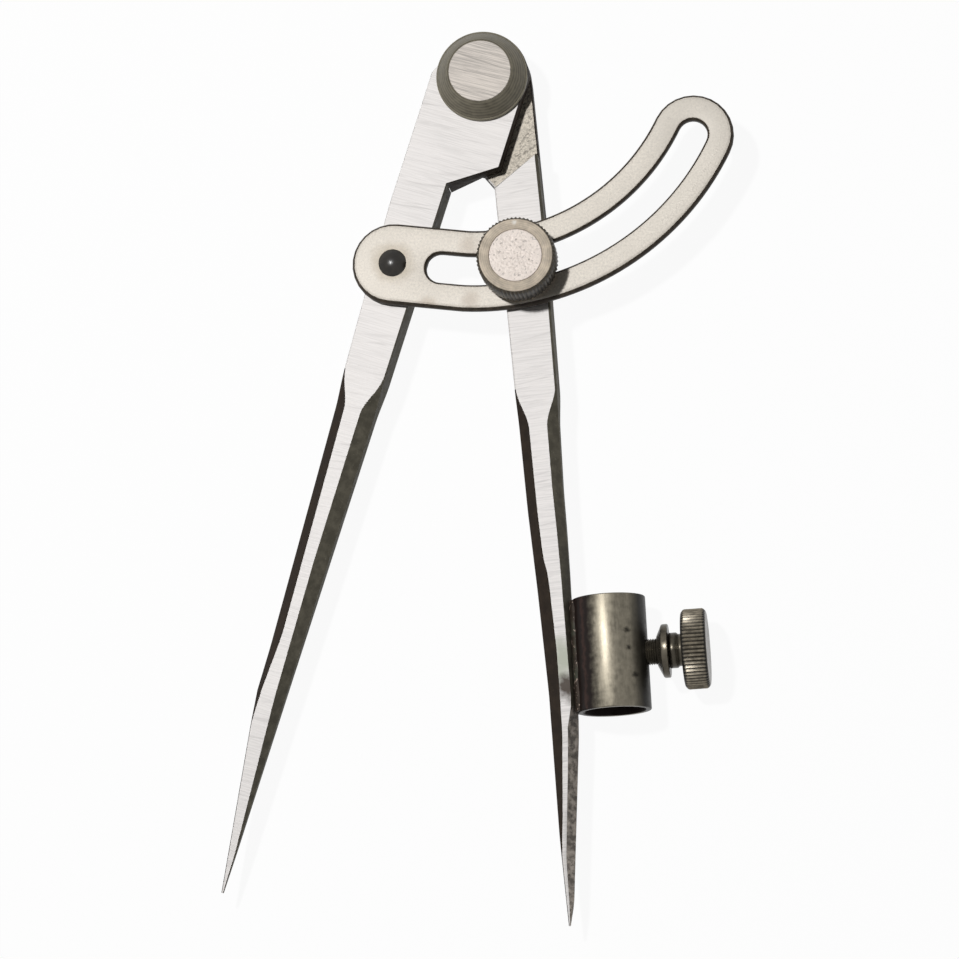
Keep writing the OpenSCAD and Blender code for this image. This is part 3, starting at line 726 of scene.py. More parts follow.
def braze_metal(name, colour):
    """Darkened braze with a faint green bloom and bright specks."""
    surface = Surface(name, metallic=0.1, specular=0.2)
    mottle = surface.grain(0.0018, detail=5.0)
    bloom = surface.grain(0.0050, detail=2.0)
    specks = surface.grain(0.0006, detail=2.0)
    base = surface.mixed(surface.levels(mottle, 0.4, 0.7), colour, shade(colour, 2.4))
    green = surface.marked(base, bloom, 0.52, 0.68, 0.4, (0.10, 0.12, 0.085))
    tone = surface.marked(green, specks, 0.64, 0.70, 0.85, (0.62, 0.48, 0.40))
    return surface.finish(tone, 0.45, mottle, depth=0.0002, strength=0.7)


# Stains, marks and pits seen from the front: x, y and reach in millimetres, then colour and strength;
# and the oil round the wing rivet, with its reach in metres

LEG_STAINS = (
    (31.9, -129.0, 6.5, (0.38, 0.40, 0.32), 0.9),
    (32.6, -135.2, 4.0, (0.05, 0.036, 0.026), 1.0),
)
WING_STAINS = (
    (1.5, -39.5, 3.2, (0.36, 0.28, 0.21), 0.4),
    (3.0, -51.7, 2.6, (0.36, 0.28, 0.21), 0.4),
    (-6.5, -53.5, 2.8, (0.36, 0.28, 0.20), 0.4),
    # The last is a broad darkening of the wing's far arm
    (47.0, -6.0, 15.0, (0.58, 0.54, 0.48), 0.45),
)
OIL_REACH, OIL_STRENGTH, OIL_COLOUR = 0.0056, 0.75, (0.34, 0.27, 0.17)
KNOB_MARKS = ((12.2, -35.5, 0.7, (0.80, 0.76, 0.70), 0.9),)
TUBE_PITS = ((44.9, -122.1, 0.9), (45.7, -125.9, 0.7), (47.7, -131.6, 0.9))


# Legs

def interpolated(pairs, u):
    """Value at a place between the (place, value) pairs round it."""
    if u <= pairs[0][0]:
        return pairs[0][1]
    for (from_u, low), (to_u, high) in zip(pairs, pairs[1:]):
        if u < to_u:
            return blend(low, high, share_of(u, from_u, to_u))
    return pairs[-1][1]


def run_in(sizes, u, start, end):
    """Goes smoothly from one value to another below the shoulder."""
    share = min(1.0, max(0.0, (u - sizes.shoulder_u) / sizes.bevel_run))
    return blend(start, end, share * share * (3 - 2 * share))


# Courses along the legs, as pairs of the distance from the hinge and a value, both in millimetres:
# widths of the bevels below the run-in, depths, and how far each edge lies outside its plain line
LEFT_COURSES = {
    "inner": {"width": ((81, 2.9), (115, 2.75), (146, 1.9), (182, 0.15)), "depth": ((146, 2.3), (182, 0.15)),
              "shift": ((72, 0), (190, 0))},
    "outer": {"width": ((81, 2.35), (133, 2.3), (146, 1.1), (153, 0.15)), "depth": ((136, 2.3), (153, 0.15)),
              "shift": ((72, 0), (190, 0))},
}
RIGHT_COURSES = {
    "inner": {"width": ((81, 2.35), (110, 2.3), (114, 2.9), (131, 2.95), (140, 2.6), (149, 2.5), (158, 1.8),
                        (167, 1.1), (176, 0.15)),
              "depth": ((150, 2.3), (176, 0.15)),
              "shift": ((99, 0), (117, 0.38), (140, 0.58), (154, 0.2), (171, -0.2))},
    "outer": {"width": ((81, 2.4), (142.5, 1.0), (148, 2.1), (158, 1.95), (176, 1.9), (186, 1),
                        (190.7, 0.1)),
              "depth": ((150, 2.3), (176, 1.1), (190.7, 0.15)),
              "shift": ((75, -0.22), (95, -0.22), (104, 0), (113, 0.1), (146, 0.1), (150, 0.3), (186, 0.33),
                        (190.7, -0.3))},
}


def course(courses, side, kind, u):
    """Value of a course at a distance from the hinge, in metres."""
    return interpolated([(place * MM, value * MM) for place, value in courses[side][kind]], u)


def leg_width(sizes, u, head):
    """Outer edge of a leg at a distance from the hinge."""
    if u < sizes.taper_start:
        return head
    if u < sizes.shoulder_u:
        return blend(head, sizes.shoulder_w, share_of(u, sizes.taper_start, sizes.shoulder_u))
    if u < sizes.point_u:
        return blend(sizes.shoulder_w, sizes.point_w, share_of(u, sizes.shoulder_u, sizes.point_u))
    tip_w = sizes.inner_gap + sizes.tip
    return blend(sizes.point_w, tip_w, share_of(u, sizes.point_u, sizes.leg_len))


def leg_half_thickness(sizes, u, half_t):
    """Half thickness of a leg at a distance from the hinge."""
    if u < sizes.shoulder_u:
        return half_t
    if u < sizes.point_u:
        return blend(half_t, sizes.point_t / 2, share_of(u, sizes.shoulder_u, sizes.point_u))
    return blend(sizes.point_t / 2, sizes.tip / 2, share_of(u, sizes.point_u, sizes.leg_len))


def lap_feet(sizes):
    """Foot of the front and of the rear lap plate, each from its far corner to its own leg."""
    slope = math.tan(sizes.lap_angle)
    front = [
        (sizes.lap_reach, -sizes.lap_u + sizes.lap_reach * slope),
        (-sizes.inner_gap, -sizes.lap_u - sizes.inner_gap * slope),
    ]
    rear = [
        (sizes.rear_reach, -sizes.rear_foot_u), (sizes.notch_reach, -sizes.notch_u),
        (-sizes.inner_gap, -sizes.rear_corner_u),
    ]
    return front, rear


def lap_steps(sizes):
    """Each leg's step as lines, given by a direction away from the hinge and a distance along it."""
    slope = Vector((-math.sin(sizes.lap_angle), -math.cos(sizes.lap_angle)))
    front = [(slope, sizes.lap_u * math.cos(sizes.lap_angle) + sizes.lap_clear)]
    foot_u = sizes.lap_u + sizes.inner_gap * math.tan(sizes.lap_angle)
    corner_r = math.hypot(sizes.inner_gap, foot_u)
    start = math.asin(sizes.inner_gap / corner_r)
    sides, part = 4, math.radians(6.6)
    rear = []
    for i in range(sides):
        turn = start + (i + 0.5) * part
        rear.append((Vector((-math.sin(turn), -math.cos(turn))), corner_r * math.cos(part / 2)))
    return front, rear


def leg_head_mesh(sizes, head, half_t, foot, step):
    """The flat upper part of a leg with its lap plate in front, about the middle plane z = 0."""
    lap_z = sizes.slide_gap / 2
    gap, reach, round_r = sizes.inner_gap, sizes.lap_reach, sizes.head_r
    outline = [foot[0]]
    outline += arc_points((0, 0), round_r, math.acos(reach / round_r), math.pi, 36)
    outline += [
        (-head, -sizes.head_side_u), (-head, -sizes.taper_start), (-sizes.shoulder_w, -sizes.shoulder_u),
        (-gap, -sizes.shoulder_u), *reversed(foot[1:]),
    ]
    bm = bmesh.new()
    ring = first_ring(bm, [Vector((x, y, lap_z)) for x, y in outline])
    cap(bm, ring)
    raised = next_ring(bm, ring, [Vector((x, y, half_t)) for x, y in outline])
    cap(bm, raised)

    def at_lap(face):
        return all(abs(v.co.z - lap_z) < 1e-8 for v in face.verts)

    for away, distance in step:
        bmesh.ops.bisect_plane(
            bm, geom=with_borders([f for f in bm.faces if at_lap(f)]), dist=1e-6,
            plane_co=(away * distance).to_3d(), plane_no=away.to_3d(),
        )

    def beyond(face, away, distance):
        return all(v.co.to_2d().dot(away) > distance - 2e-6 for v in face.verts)

    lower = [f for f in bm.faces if at_lap(f) and any(beyond(f, *line) for line in step)]
    edges = [e for f in lower for e in f.edges]
    rim = ordered_loop([e for e in edges if edges.count(e) == 1])
    bmesh.ops.delete(bm, geom=lower, context="FACES")
    sunk = next_ring(bm, rim, [Vector((v.co.x, v.co.y, -half_t)) for v in rim])
    cap(bm, sunk)
    bmesh.ops.recalc_face_normals(bm, faces=bm.faces)
    return bm


def draw_out_leg(bm, sizes, head, half_t, courses):
    """Draws the leg from its shoulder to its point, starting from the shoulder's end wall."""
    def at_shoulder(vert):
        return abs(vert.co.y + sizes.shoulder_u) < TOUCHING

    wall = [f for f in bm.faces if all(at_shoulder(v) for v in f.verts)]
    bmesh.ops.delete(bm, geom=wall, context="FACES")
    ring = ordered_loop([e for e in bm.edges if e.is_boundary])
    middle_x = -(sizes.shoulder_w + sizes.inner_gap) / 2
    roles = []
    for vert in ring:
        side = "inner" if vert.co.x > middle_x else "outer"
        if abs(vert.co.z) > half_t - sizes.edge_break / 2:
            kind = "face"
        elif abs(vert.co.z) > half_t / 2:
            kind = "side"
        else:
            kind = "middle"
        roles.append((side, kind, 1 if vert.co.z > 0 else -1, vert.co.z))

    def place(role, u):
        side, kind, sign, rest_z = role
        width = leg_width(sizes, u, head)
        thick = leg_half_thickness(sizes, u, half_t)
        shift = run_in(sizes, u, 0, course(courses, side, "shift", u))
        edge_x = -shift - (sizes.inner_gap if side == "inner" else width)
        if kind == "middle":
            return Vector((edge_x, -u, rest_z * thick / half_t))
        if kind == "side":
            depth = run_in(sizes, u, sizes.edge_break, course(courses, side, "depth", u))
            return Vector((edge_x, -u, sign * (thick - depth)))
        cut = run_in(sizes, u, sizes.edge_break, course(courses, side, "width", u))
        inward = -cut if side == "inner" else cut
        return Vector((edge_x + inward, -u, sign * thick))

    run_in_steps, shank_steps, point_steps = 8, 24, 24
    stations = [sizes.shoulder_u + sizes.bevel_run * i / run_in_steps for i in range(1, run_in_steps + 1)]
    stations += [blend(stations[-1], sizes.point_u, i / shank_steps) for i in range(1, shank_steps + 1)]
    stations += [blend(sizes.point_u, sizes.leg_len, i / point_steps) for i in range(1, point_steps + 1)]
    for u in stations:
        ring = next_ring(bm, ring, [place(role, u) for role in roles])
    cap(bm, ring)


def cell_round(bm, centre, half_side, z):
    """Cuts a square cell round a place out of the flat faces at a height, and returns it."""
    def is_flat(face):
        return all(abs(v.co.z - z) < TOUCHING for v in face.verts)

    for axis in (0, 1):
        for sign in (-1, 1):
            place = Vector((*centre, z))
            place[axis] += sign * half_side
            normal = Vector((0, 0, 0))
            normal[axis] = 1
            flat = with_borders([f for f in bm.faces if is_flat(f)])
            bmesh.ops.bisect_plane(bm, geom=flat, dist=1e-9, plane_co=place, plane_no=normal)
    return next(
        f for f in bm.faces
        if is_flat(f) and all(abs(v.co[i] - centre[i]) < half_side + 1e-6 for v in f.verts for i in (0, 1))
    )


def drill(bm, centre, radius, from_z, to_z, count=32):
    """Drills a round hole between two flat faces."""
    for z in (from_z, to_z):
        cell = cell_round(bm, centre, radius + CELL_MARGIN, z)
        border = list(cell.edges)
        bmesh.ops.delete(bm, geom=[cell], context="FACES_ONLY")
        rim = first_ring(bm, [p + Vector((*centre, 0)) for p in circle_places(radius, z, count)])
        circle = [bm.edges.get((rim[i - 1], rim[i])) for i in range(count)]
        bmesh.ops.triangle_fill(bm, use_beauty=True, edges=border + circle)
        if z == from_z:
            start = rim
    next_ring(bm, start, [Vector((v.co.x, v.co.y, to_z)) for v in start])
    bmesh.ops.remove_doubles(bm, verts=bm.verts, dist=TOUCHING)


def widen_outer_bevel(bm, sizes, head, half_t, step_u):
    """Widens the small bevel on the outer edge away from the lap plate, from the step to the shoulder."""
    for vert in bm.verts:
        u = -vert.co.y
        if not step_u - 8 * MM < u < sizes.shoulder_u + TOUCHING:
            continue
        share = min(1.0, max(0.0, share_of(u, step_u, sizes.shoulder_u)))
        extra = blend(sizes.dark_top, sizes.dark_foot, share)
        outer_x = -leg_width(sizes, u, head)
        at_skin = abs(vert.co.z + half_t) < 1e-6
        below_skin = abs(vert.co.z + half_t - sizes.edge_break) < 1e-5
        if at_skin and abs(vert.co.x - outer_x - sizes.edge_break) < 5e-5:
            vert.co.x += extra
        elif below_skin and abs(vert.co.x - outer_x) < 5e-5:
            vert.co.z += extra


def leg_mesh(sizes, head, half_t, foot, step, courses):
    """A whole leg in its own frame, about its middle plane."""
    bm = leg_head_mesh(sizes, head, half_t, foot, step)
    sweep_r = math.hypot(sizes.rear_reach, sizes.rear_foot_u)

    def worn_down(edge):
        """False at the shoulder's end wall and at the corners where the two lap plates meet."""
        start, end = edge.verts
        upright = (start.co - end.co).to_2d().length < TOUCHING
        meeting = upright and abs(start.co.to_2d().length - sweep_r) < 0.4 * MM
        return not meeting and not all(abs(v.co.y + sizes.shoulder_u) < TOUCHING for v in edge.verts)

    soften(bm, sizes.edge_break, segments=1, keep=worn_down)
    draw_out_leg(bm, sizes, head, half_t, courses)
    return bm


# Materials of a leg, in their order; the dark scale comes twice, in painted shade and in painted light
BRIGHT, SHADED_SCALE, LIT_SCALE, SEAT, WORN = range(5)

# Least share of a face's direction along Z to count as flat or slanting, and along X as sideways
FLAT, SLANTING, SIDEWAYS = 0.97, 0.3, 0.2


def paint_leg(bm, sizes, half_t, right_facing, painted_light_from, worn_from):
    """Gives each face of a leg, in the leg's own frame, the material that the photo shows there."""
    bmesh.ops.recalc_face_normals(bm, faces=bm.faces)
    bm.normal_update()
    for face in bm.faces:
        centre = face.calc_center_median()
        u = -centre.y
        flat = abs(face.normal.z)
        to_right = face.normal.x * right_facing > SIDEWAYS
        if flat > FLAT:
            at_skin = abs(centre.z) > leg_half_thickness(sizes, u, half_t) - 0.6 * MM
            face.material_index = BRIGHT if at_skin else SEAT
        elif flat > SLANTING and u < sizes.shoulder_u and not to_right:
            face.material_index = BRIGHT
        elif to_right and u > worn_from:
            face.material_index = WORN
        else:
            # Dark scale: painted light on faces that turn right further from the hinge, painted shade on the
            # rest
            face.material_index = LIT_SCALE if to_right and u > painted_light_from else SHADED_SCALE


def leg_levels():
    """Middle height and half thickness of the legs, from the frame."""
    low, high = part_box("left_leg")
    return (low.z + high.z) / 2, (high.z - low.z) / 2


class COMPASS_OT_legs(bpy.types.Operator):
    """Make the two forged legs"""

    bl_idname = "compass.legs"
    bl_label = "Legs"

    def execute(self, context):
        sizes = context.scene.compass_legs
        colours = context.scene.compass_finishes
        middle_z, half_t = leg_levels()
        lift = Matrix.Translation((0, 0, middle_z))
        mirrored = Matrix.Scale(-1, 4, (1, 0, 0)) @ Matrix.Scale(-1, 4, (0, 0, 1))
        left_place = lift @ Matrix.Rotation(-sizes.half_opening, 4, "Z")
        right_place = lift @ Matrix.Rotation(sizes.half_opening, 4, "Z") @ mirrored
        others = [
            dark_scale_and_painted_shade("scale_painted_shade", colours.scale_painted_shade), dark_scale_and_painted_shade("scale_painted_light", colours.scale_painted_light),
            rough_seat("lap_seat", colours.seat), worn_bevel("worn_bevel", colours.worn),
        ]
        front_foot, rear_foot = lap_feet(sizes)
        front_step, rear_step = lap_steps(sizes)

        left = leg_mesh(sizes, sizes.left_head, half_t, front_foot, rear_step, LEFT_COURSES)
        paint_leg(left, sizes, half_t, 1, sizes.taper_start, sizes.leg_len)
        make_piece(
            left, "forged_left_leg", "left_leg", ["left_leg"],
            [ground_steel("ground_left", colours.ground, -sizes.half_opening), *others], left_place,
        )

        right = leg_mesh(sizes, sizes.right_head, half_t, rear_foot, front_step, RIGHT_COURSES)
        widen_outer_bevel(right, sizes, sizes.right_head, half_t, sizes.lap_u)
        drill(right, (-sizes.stud_w, -sizes.stud_u), sizes.stud_hole / 2, -half_t, half_t)
        drill(right, (0, 0), sizes.rivet_hole / 2, sizes.slide_gap / 2, half_t)
        paint_leg(right, sizes, half_t, -1, sizes.lap_u, sizes.point_u - 2 * MM)
        make_piece(
            right, "forged_right_leg", "right_leg", ["right_leg"],
            [ground_steel("ground_right", colours.ground, sizes.half_opening, LEG_STAINS), *others],
            right_place,
        )
        return {"FINISHED"}


# Hinge

# Corners of the turned profiles, as shifts outwards and upwards in millimetres
RIVET_HEAD_RIM = ((-0.02, -0.14), (-0.12, -0.01))
CONE_FOOT = ((0, 0.05), (-0.12, 0.30))
CONE_TOP = ((0.10, -0.18), (-0.06, -0.05))
HEAD_SEAT = ((0.06, -0.15),)
REAR_RIM = ((-0.3, 0), (-0.1, 0.1), (0, 0.3))
SCRATCH_TURN = -0.17  # direction of the scratches on the rivet's head, in radians


class COMPASS_OT_hinge(bpy.types.Operator):
    """Make the hinge rivet and its two washers"""

    bl_idname = "compass.hinge"
    bl_label = "Hinge"

    def execute(self, context):
        sizes = context.scene.compass_hinge
        colours = context.scene.compass_finishes
        washer_low, washer_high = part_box("front_hinge_washer")
        rear_low, rear_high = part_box("rear_hinge_washer")
        washer_r = (washer_high.x - washer_low.x) / 2
        rear_r = (rear_high.x - rear_low.x) / 2
        rivet_r, head_r, top_r = sizes.rivet_d / 2, sizes.head_d / 2, sizes.top_d / 2
        top_z = washer_high.z
        turned = turned_steel("blackened_washer", colours.washer, (0, 0, 0))

        rivet_profile = [
            (0, rear_low.z), (sizes.rear_d / 2, rear_low.z), (rivet_r, rear_high.z),
            (rivet_r, top_z - sizes.head_h), *corners(head_r, top_z, RIVET_HEAD_RIM), (0, top_z),
        ]
        make_piece(
            spun(rivet_profile), "hinge_rivet_ground", "left_leg", ["hinge_rivet"],
            [scratched_disc("scratched_rivet", colours.rivet, SCRATCH_TURN)],
        )

        rim_z = washer_low.z + sizes.rim
        cone_foot = washer_r - sizes.step
        washer_profile = [
            (rivet_r, washer_low.z), *eased_rim(washer_r, washer_low.z, rim_z),
            *corners(cone_foot, rim_z, CONE_FOOT), *corners(top_r, top_z, CONE_TOP),
            *corners(head_r, top_z, HEAD_SEAT), (rivet_r, top_z - sizes.head_h),
        ]
        make_piece(
            spun_ring(washer_profile, 128), "front_hinge_cone", "left_leg", ["front_hinge_washer"],
            [turned],
        )

        rear_profile = [
            (rivet_r, rear_high.z), (sizes.rear_d / 2, rear_low.z),
            *corners(rear_r, rear_low.z, REAR_RIM), (rear_r, rear_high.z),
        ]
        make_piece(
            spun_ring(rear_profile), "rear_hinge_disc", "left_leg", ["rear_hinge_washer"],
            [turned],
        )
        return {"FINISHED"}


# Wing

# Slopes from which the rounded edges of the slot and of the outside are painted dark as shade
SLOT_DARK_FROM = math.radians(22)
OUTER_DARK_FROM = math.radians(33)


def wing_line(sizes, pivot, start_at_slot, count):
    """Points and side directions along the wing's middle line, from the rivet or the slot's start."""
    centre = Vector((sizes.arc_x, sizes.arc_y))
    turn_in = sizes.slot_from + sizes.arc_lead

    def on_arc(a):
        return centre + sizes.arc_r * Vector((math.cos(a), math.sin(a)))

    straight_end = on_arc(turn_in)
    straight_from = on_arc(sizes.slot_from) if start_at_slot else pivot
    straight_len = (straight_end - straight_from).length
    arc_len = sizes.arc_r * (sizes.slot_to - turn_in)

    def at(distance):
        if distance < straight_len:
            return straight_from.lerp(straight_end, distance / straight_len)
        return on_arc(turn_in + (distance - straight_len) / sizes.arc_r)

    total = straight_len + arc_len
    reach = 2.5 * MM
    line = []
    for i in range(count + 1):
        d = total * i / count
        along = at(min(total, d + reach)) - at(max(0.0, d - reach))
        along.normalize()
        line.append((at(d), Vector((-along.y, along.x))))
    return line


def wing_outline(line, half_width, cap_steps=14):
    """A closed outline at a distance from the middle line, with round ends."""
    points = []
    for way, reach in ((line, half_width), (line[::-1], -half_width)):
        points += [p + side * reach for p, side in way]
        end, end_side = way[-1]
        for i in range(1, cap_steps):
            turn = Matrix.Rotation(-math.pi * i / cap_steps, 2)
            points.append(end + turn @ end_side * reach)
    return points


class COMPASS_OT_wing(bpy.types.Operator):
    """Make the slotted wing and its rivet"""

    bl_idname = "compass.wing"
    bl_label = "Wing"

    def execute(self, context):
        sizes = context.scene.compass_wing
        colours = context.scene.compass_finishes
        low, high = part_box("wing")
        pivot = Vector(joints["wing_pivot"]["pos_m"])
        samples = 48
        whole = wing_line(sizes, pivot.to_2d(), False, samples)
        slotted = wing_line(sizes, pivot.to_2d(), True, samples)
        outer, inner = sizes.wing_w / 2, sizes.slot_w / 2
        big, small = sizes.outer_round, sizes.slot_round

        def level(line, half_width, z):
            return [Vector((p.x, p.y, z)) for p in wing_outline(line, half_width)]

        def rounding(line, edge, radius, z_edge, facing, into, steps):
            """Rings of a rounded edge; facing is +1 at the front, into is +1 from outside to inside."""
            rings = []
            for i in range(steps + 1):
                a = math.pi / 2 * i / steps
                away, drop = radius * (1 - math.cos(a)), radius * (1 - math.sin(a))
                if into < 0:
                    away, drop = drop, away
                rings.append(level(line, edge[0] + edge[1] * away, z_edge - facing * drop))
            return rings

        rings = []
        rings += rounding(slotted, (inner, 1), small, high.z, 1, 1, 4)
        rings += rounding(whole, (outer, -1), big, high.z, 1, -1, 6)
        rings += rounding(whole, (outer, -1), small, low.z, -1, 1, 2)
        rings += rounding(slotted, (inner, 1), small, low.z, -1, -1, 2)
        bm = lofted(rings, ring_shaped=True)

        slot_limit, outer_limit = math.cos(SLOT_DARK_FROM), math.cos(OUTER_DARK_FROM)

        def which(face):
            """0 on the satin face, 1 on the rounded edges, painted dark as shade."""
            centre = face.calc_center_median()
            reach = min((centre.to_2d() - p).length for p, side in whole)
            limit = slot_limit if reach < (inner + outer) / 2 else outer_limit
            return 0 if face.normal.z > limit else 1

        make_piece(
            bm, "slotted_wing", "wing", ["wing"],
            [satin_wing("satin_wing", colours.wing, (pivot.x, pivot.y), WING_STAINS),
             blackened_and_painted_shade("edge_painted_shade", colours.wing_edge_painted_shade)],
            material_of=which,
        )

        rivet_low, rivet_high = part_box("wing_rivet")
        dome_z = rivet_high.z - sizes.dome_h
        dome_r = sizes.dome_d / 2
        ball_r = (dome_r * dome_r + sizes.dome_h * sizes.dome_h) / (2 * sizes.dome_h)
        shank_r = sizes.rivet_d / 2
        profile = [
            (0, rivet_low.z - 0.06 * MM), (sizes.rear_d / 2 * 0.8, rivet_low.z - 0.03 * MM),
            (sizes.rear_d / 2, rivet_low.z + 0.05 * MM), (shank_r, rivet_low.z + 1.4 * MM),
            (shank_r, dome_z), (dome_r, dome_z),
        ]
        dome_steps = 8
        widest = math.asin(dome_r / ball_r)
        for i in range(dome_steps + 1):
            a = widest * (1 - i / dome_steps)
            profile.append((ball_r * math.sin(a), rivet_high.z - ball_r + ball_r * math.cos(a)))
        make_piece(
            spun(profile, 64), "wing_rivet_dome", "left_leg", ["wing_rivet"],
            [blackened_and_painted_shade("black_rivet", colours.black, specular=0.35, roughness=0.28)],
            Matrix.Translation((pivot.x, pivot.y, 0)),
        )
        return {"FINISHED"}


# Knurled pieces

# Corners of the turned profiles, as shifts outwards and upwards in millimetres
FACE_RIM = ((0.05, -0.24), (0, -0.10), (-0.12, 0))
DISC_SEAT = ((0.16, 0), (0.06, -0.06), (0.05, -0.5))
DISC_RIM = ((0, -0.5), (0, -0.2), (-0.08, -0.06))
STUD_END = ((-0.5, 0), (0, 0.5))
SEAT_DEPTH = 0.6 * MM  # depth of the seat of the screw's head in the knob

# Pits in the clamp screw's head: noise per metre and its shift
PIT_SCALE = 1900
PIT_SHIFT = Vector((3.1, 7.7, 0))


def knurled_places(radius, z, depth, ridges, per_ridge=4):
    """A ring of places whose radius dips by a depth between the ridges."""
    count = ridges * per_ridge
    places = []
    for i in range(count):
        r = radius - depth * (0.5 - 0.5 * math.cos(FULL_TURN * i / per_ridge))
        a = FULL_TURN * i / count
        places.append(Vector((r * math.cos(a), r * math.sin(a), z)))
    return places


def knurled_end(diameter, end_z, sign, edge, depth, ridges):
    """Rings of a knurled, rounded edge from the end face to the side; sign points into the piece."""
    steps = ((0, 1, 0), (0.15, 0.72, 0.1), (0.55, 0.25, 0.7), (1, 0, 1))
    return [
        knurled_places(diameter / 2 - inset * edge, end_z + sign * drop * edge, share * depth, ridges)
        for drop, inset, share in steps
    ]


def circle_places(radius, z, count):
    """A ring of places round Z."""
    return [
        Vector((radius * math.cos(FULL_TURN * i / count), radius * math.sin(FULL_TURN * i / count), z))
        for i in range(count)
    ]


class COMPASS_OT_clamp(bpy.types.Operator):
    """Make the clamp knob, its screw and its washer"""

    bl_idname = "compass.clamp"
    bl_label = "Clamp"

    def execute(self, context):
        sizes = context.scene.compass_knob
        colours = context.scene.compass_finishes
        axis = Vector(joints["clamp_turn"]["pos_m"])
        place = Matrix.Translation((axis.x, axis.y, 0))
        low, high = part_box("clamp_knob")
        screw_low, screw_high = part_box("clamp_screw")
        height = high.z - low.z
        count = sizes.ridges * 4
        disc_r = sizes.disc_d / 2
        face_r = sizes.face_d / 2
        outer_r = sizes.knob_d / 2
        stud_r = sizes.stud_d / 2
        foot_z = height - sizes.chamfer

        rings = knurled_end(sizes.knob_d, 0, 1, sizes.edge, sizes.knurl, sizes.ridges)
        bulge_r, bulge_z = blend(outer_r, face_r, 0.5), foot_z + 0.62 * sizes.chamfer
        rings += [
            knurled_places(outer_r, foot_z, sizes.knurl, sizes.ridges),
            knurled_places(bulge_r, bulge_z, sizes.knurl, sizes.ridges),
            knurled_places(face_r + 0.16 * MM, height - 0.16 * MM, 0.3 * sizes.knurl, sizes.ridges),
        ]
        inside = corners(face_r, height, FACE_RIM) + corners(disc_r, height, DISC_SEAT)
        inside += [(stud_r, height - SEAT_DEPTH), (stud_r, 0)]
        rings += [circle_places(r, z, count) for r, z in inside]
        bm = lofted(rings, ring_shaped=True)
        bmesh.ops.recalc_face_normals(bm, faces=bm.faces)
        bm.normal_update()
        # Faces that turn up take the knurl in painted light, the knurled side takes it in painted shade
        for face in bm.faces:
            if face.calc_center_median().to_2d().length < face_r + 0.02 * MM:
                face.material_index = 0
            else:
                face.material_index = 1 if face.normal.z > 0.2 else 2
        axis_place = (axis.x, axis.y, 0)
        satin = turned_steel(
            "knob_satin", colours.knob, axis_place, contrast=0.15, metallic=0.0, stains=KNOB_MARKS,
            specular=0.12, roughness=(0.5, 0.7),
        )
        knob_chamfer_painted_light = turned_steel(
            "knob_chamfer", shade(colours.knurl, 2.2), axis_place, contrast=0.1, specular=0.12
        )
        knob_side_painted_shade = knurl_with_painted_light(
            "knob_side", shade(colours.knurl, 0.5), axis_place, (0, 0, 0), outer_r, sizes.knurl
        )
        make_piece(
            bm, "clamp_knob_ring", "clamp_knob", ["clamp_knob"],
            [satin, knob_chamfer_painted_light, knob_side_painted_shade],
            place @ Matrix.Translation((0, 0, low.z)), smooth_angle=50,
        )

        top = screw_high.z
        rings_on_disc = 44
        profile = [
            (0, screw_low.z), *corners(stud_r, screw_low.z, STUD_END),
            (stud_r, top - SEAT_DEPTH), *corners(disc_r, top, DISC_RIM),
        ]
        pitted_r, pitted_z = disc_r - 0.2 * MM, top - 0.02 * MM
        profile += [(pitted_r * (1 - i / rings_on_disc), pitted_z) for i in range(rings_on_disc + 1)]
        disc = spun(profile, 160)
        for vert in disc.verts:
            radius = vert.co.to_2d().length
            if vert.co.z > top - 0.03 * MM and radius < disc_r - 0.5 * MM:
                pit = noise.noise(vert.co * PIT_SCALE + PIT_SHIFT)
                edge_fade = min(1.0, (disc_r - radius) / (1.5 * MM))
                vert.co.z -= sizes.pit_depth * edge_fade * max(0.0, min(1.0, (pit - 0.10) / 0.3))
        make_piece(
            disc, "clamp_screw_disc", "clamp_knob", ["clamp_screw"],
            [pitted_disc("pitted_head", colours.disc)], place,
        )

        washer_low, washer_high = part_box("clamp_washer")
        washer_r = (washer_high.x - washer_low.x) / 2
        hole_r = stud_r + HOLE_GAP
        washer = [
            (hole_r, washer_low.z), *eased_rim(washer_r, washer_low.z, washer_high.z),
            (hole_r, washer_high.z),
        ]
        make_piece(
            spun_ring(washer), "clamp_pressure_washer", "clamp_travel", ["clamp_washer"],
            [turned_steel("clamp_washer_dark", shade(colours.washer, 0.8), axis_place)], place,
        )
        return {"FINISHED"}


# Pencil tube

# Half the section of the braze bead: distance from the tube in millimetres, share of the bead's height
BEAD_HALF_SECTION = ((-0.05, 0.45), (-0.25, 0.62), (0.35, 0.95), (1.0, 1.02), (1.6, 0.6))
BEAD_SWELL, BEAD_SWELL_SCALE = 0.12, 420
BEAD_BUMP, BEAD_BUMP_SCALE = 0.12 * MM, 700


def tube_and_screw_places():
    """The tube's frame, z along it towards the points, and its screw's, z outwards from the tube."""
    bore, screw = mounts["pencil_bore"], joints["pencil_screw_turn"]
    along, out = Vector(bore["axis"]).normalized(), Vector(screw["axis"]).normalized()
    return frame_at(bore["pos_m"], out, along), frame_at(screw["pos_m"], along, out)


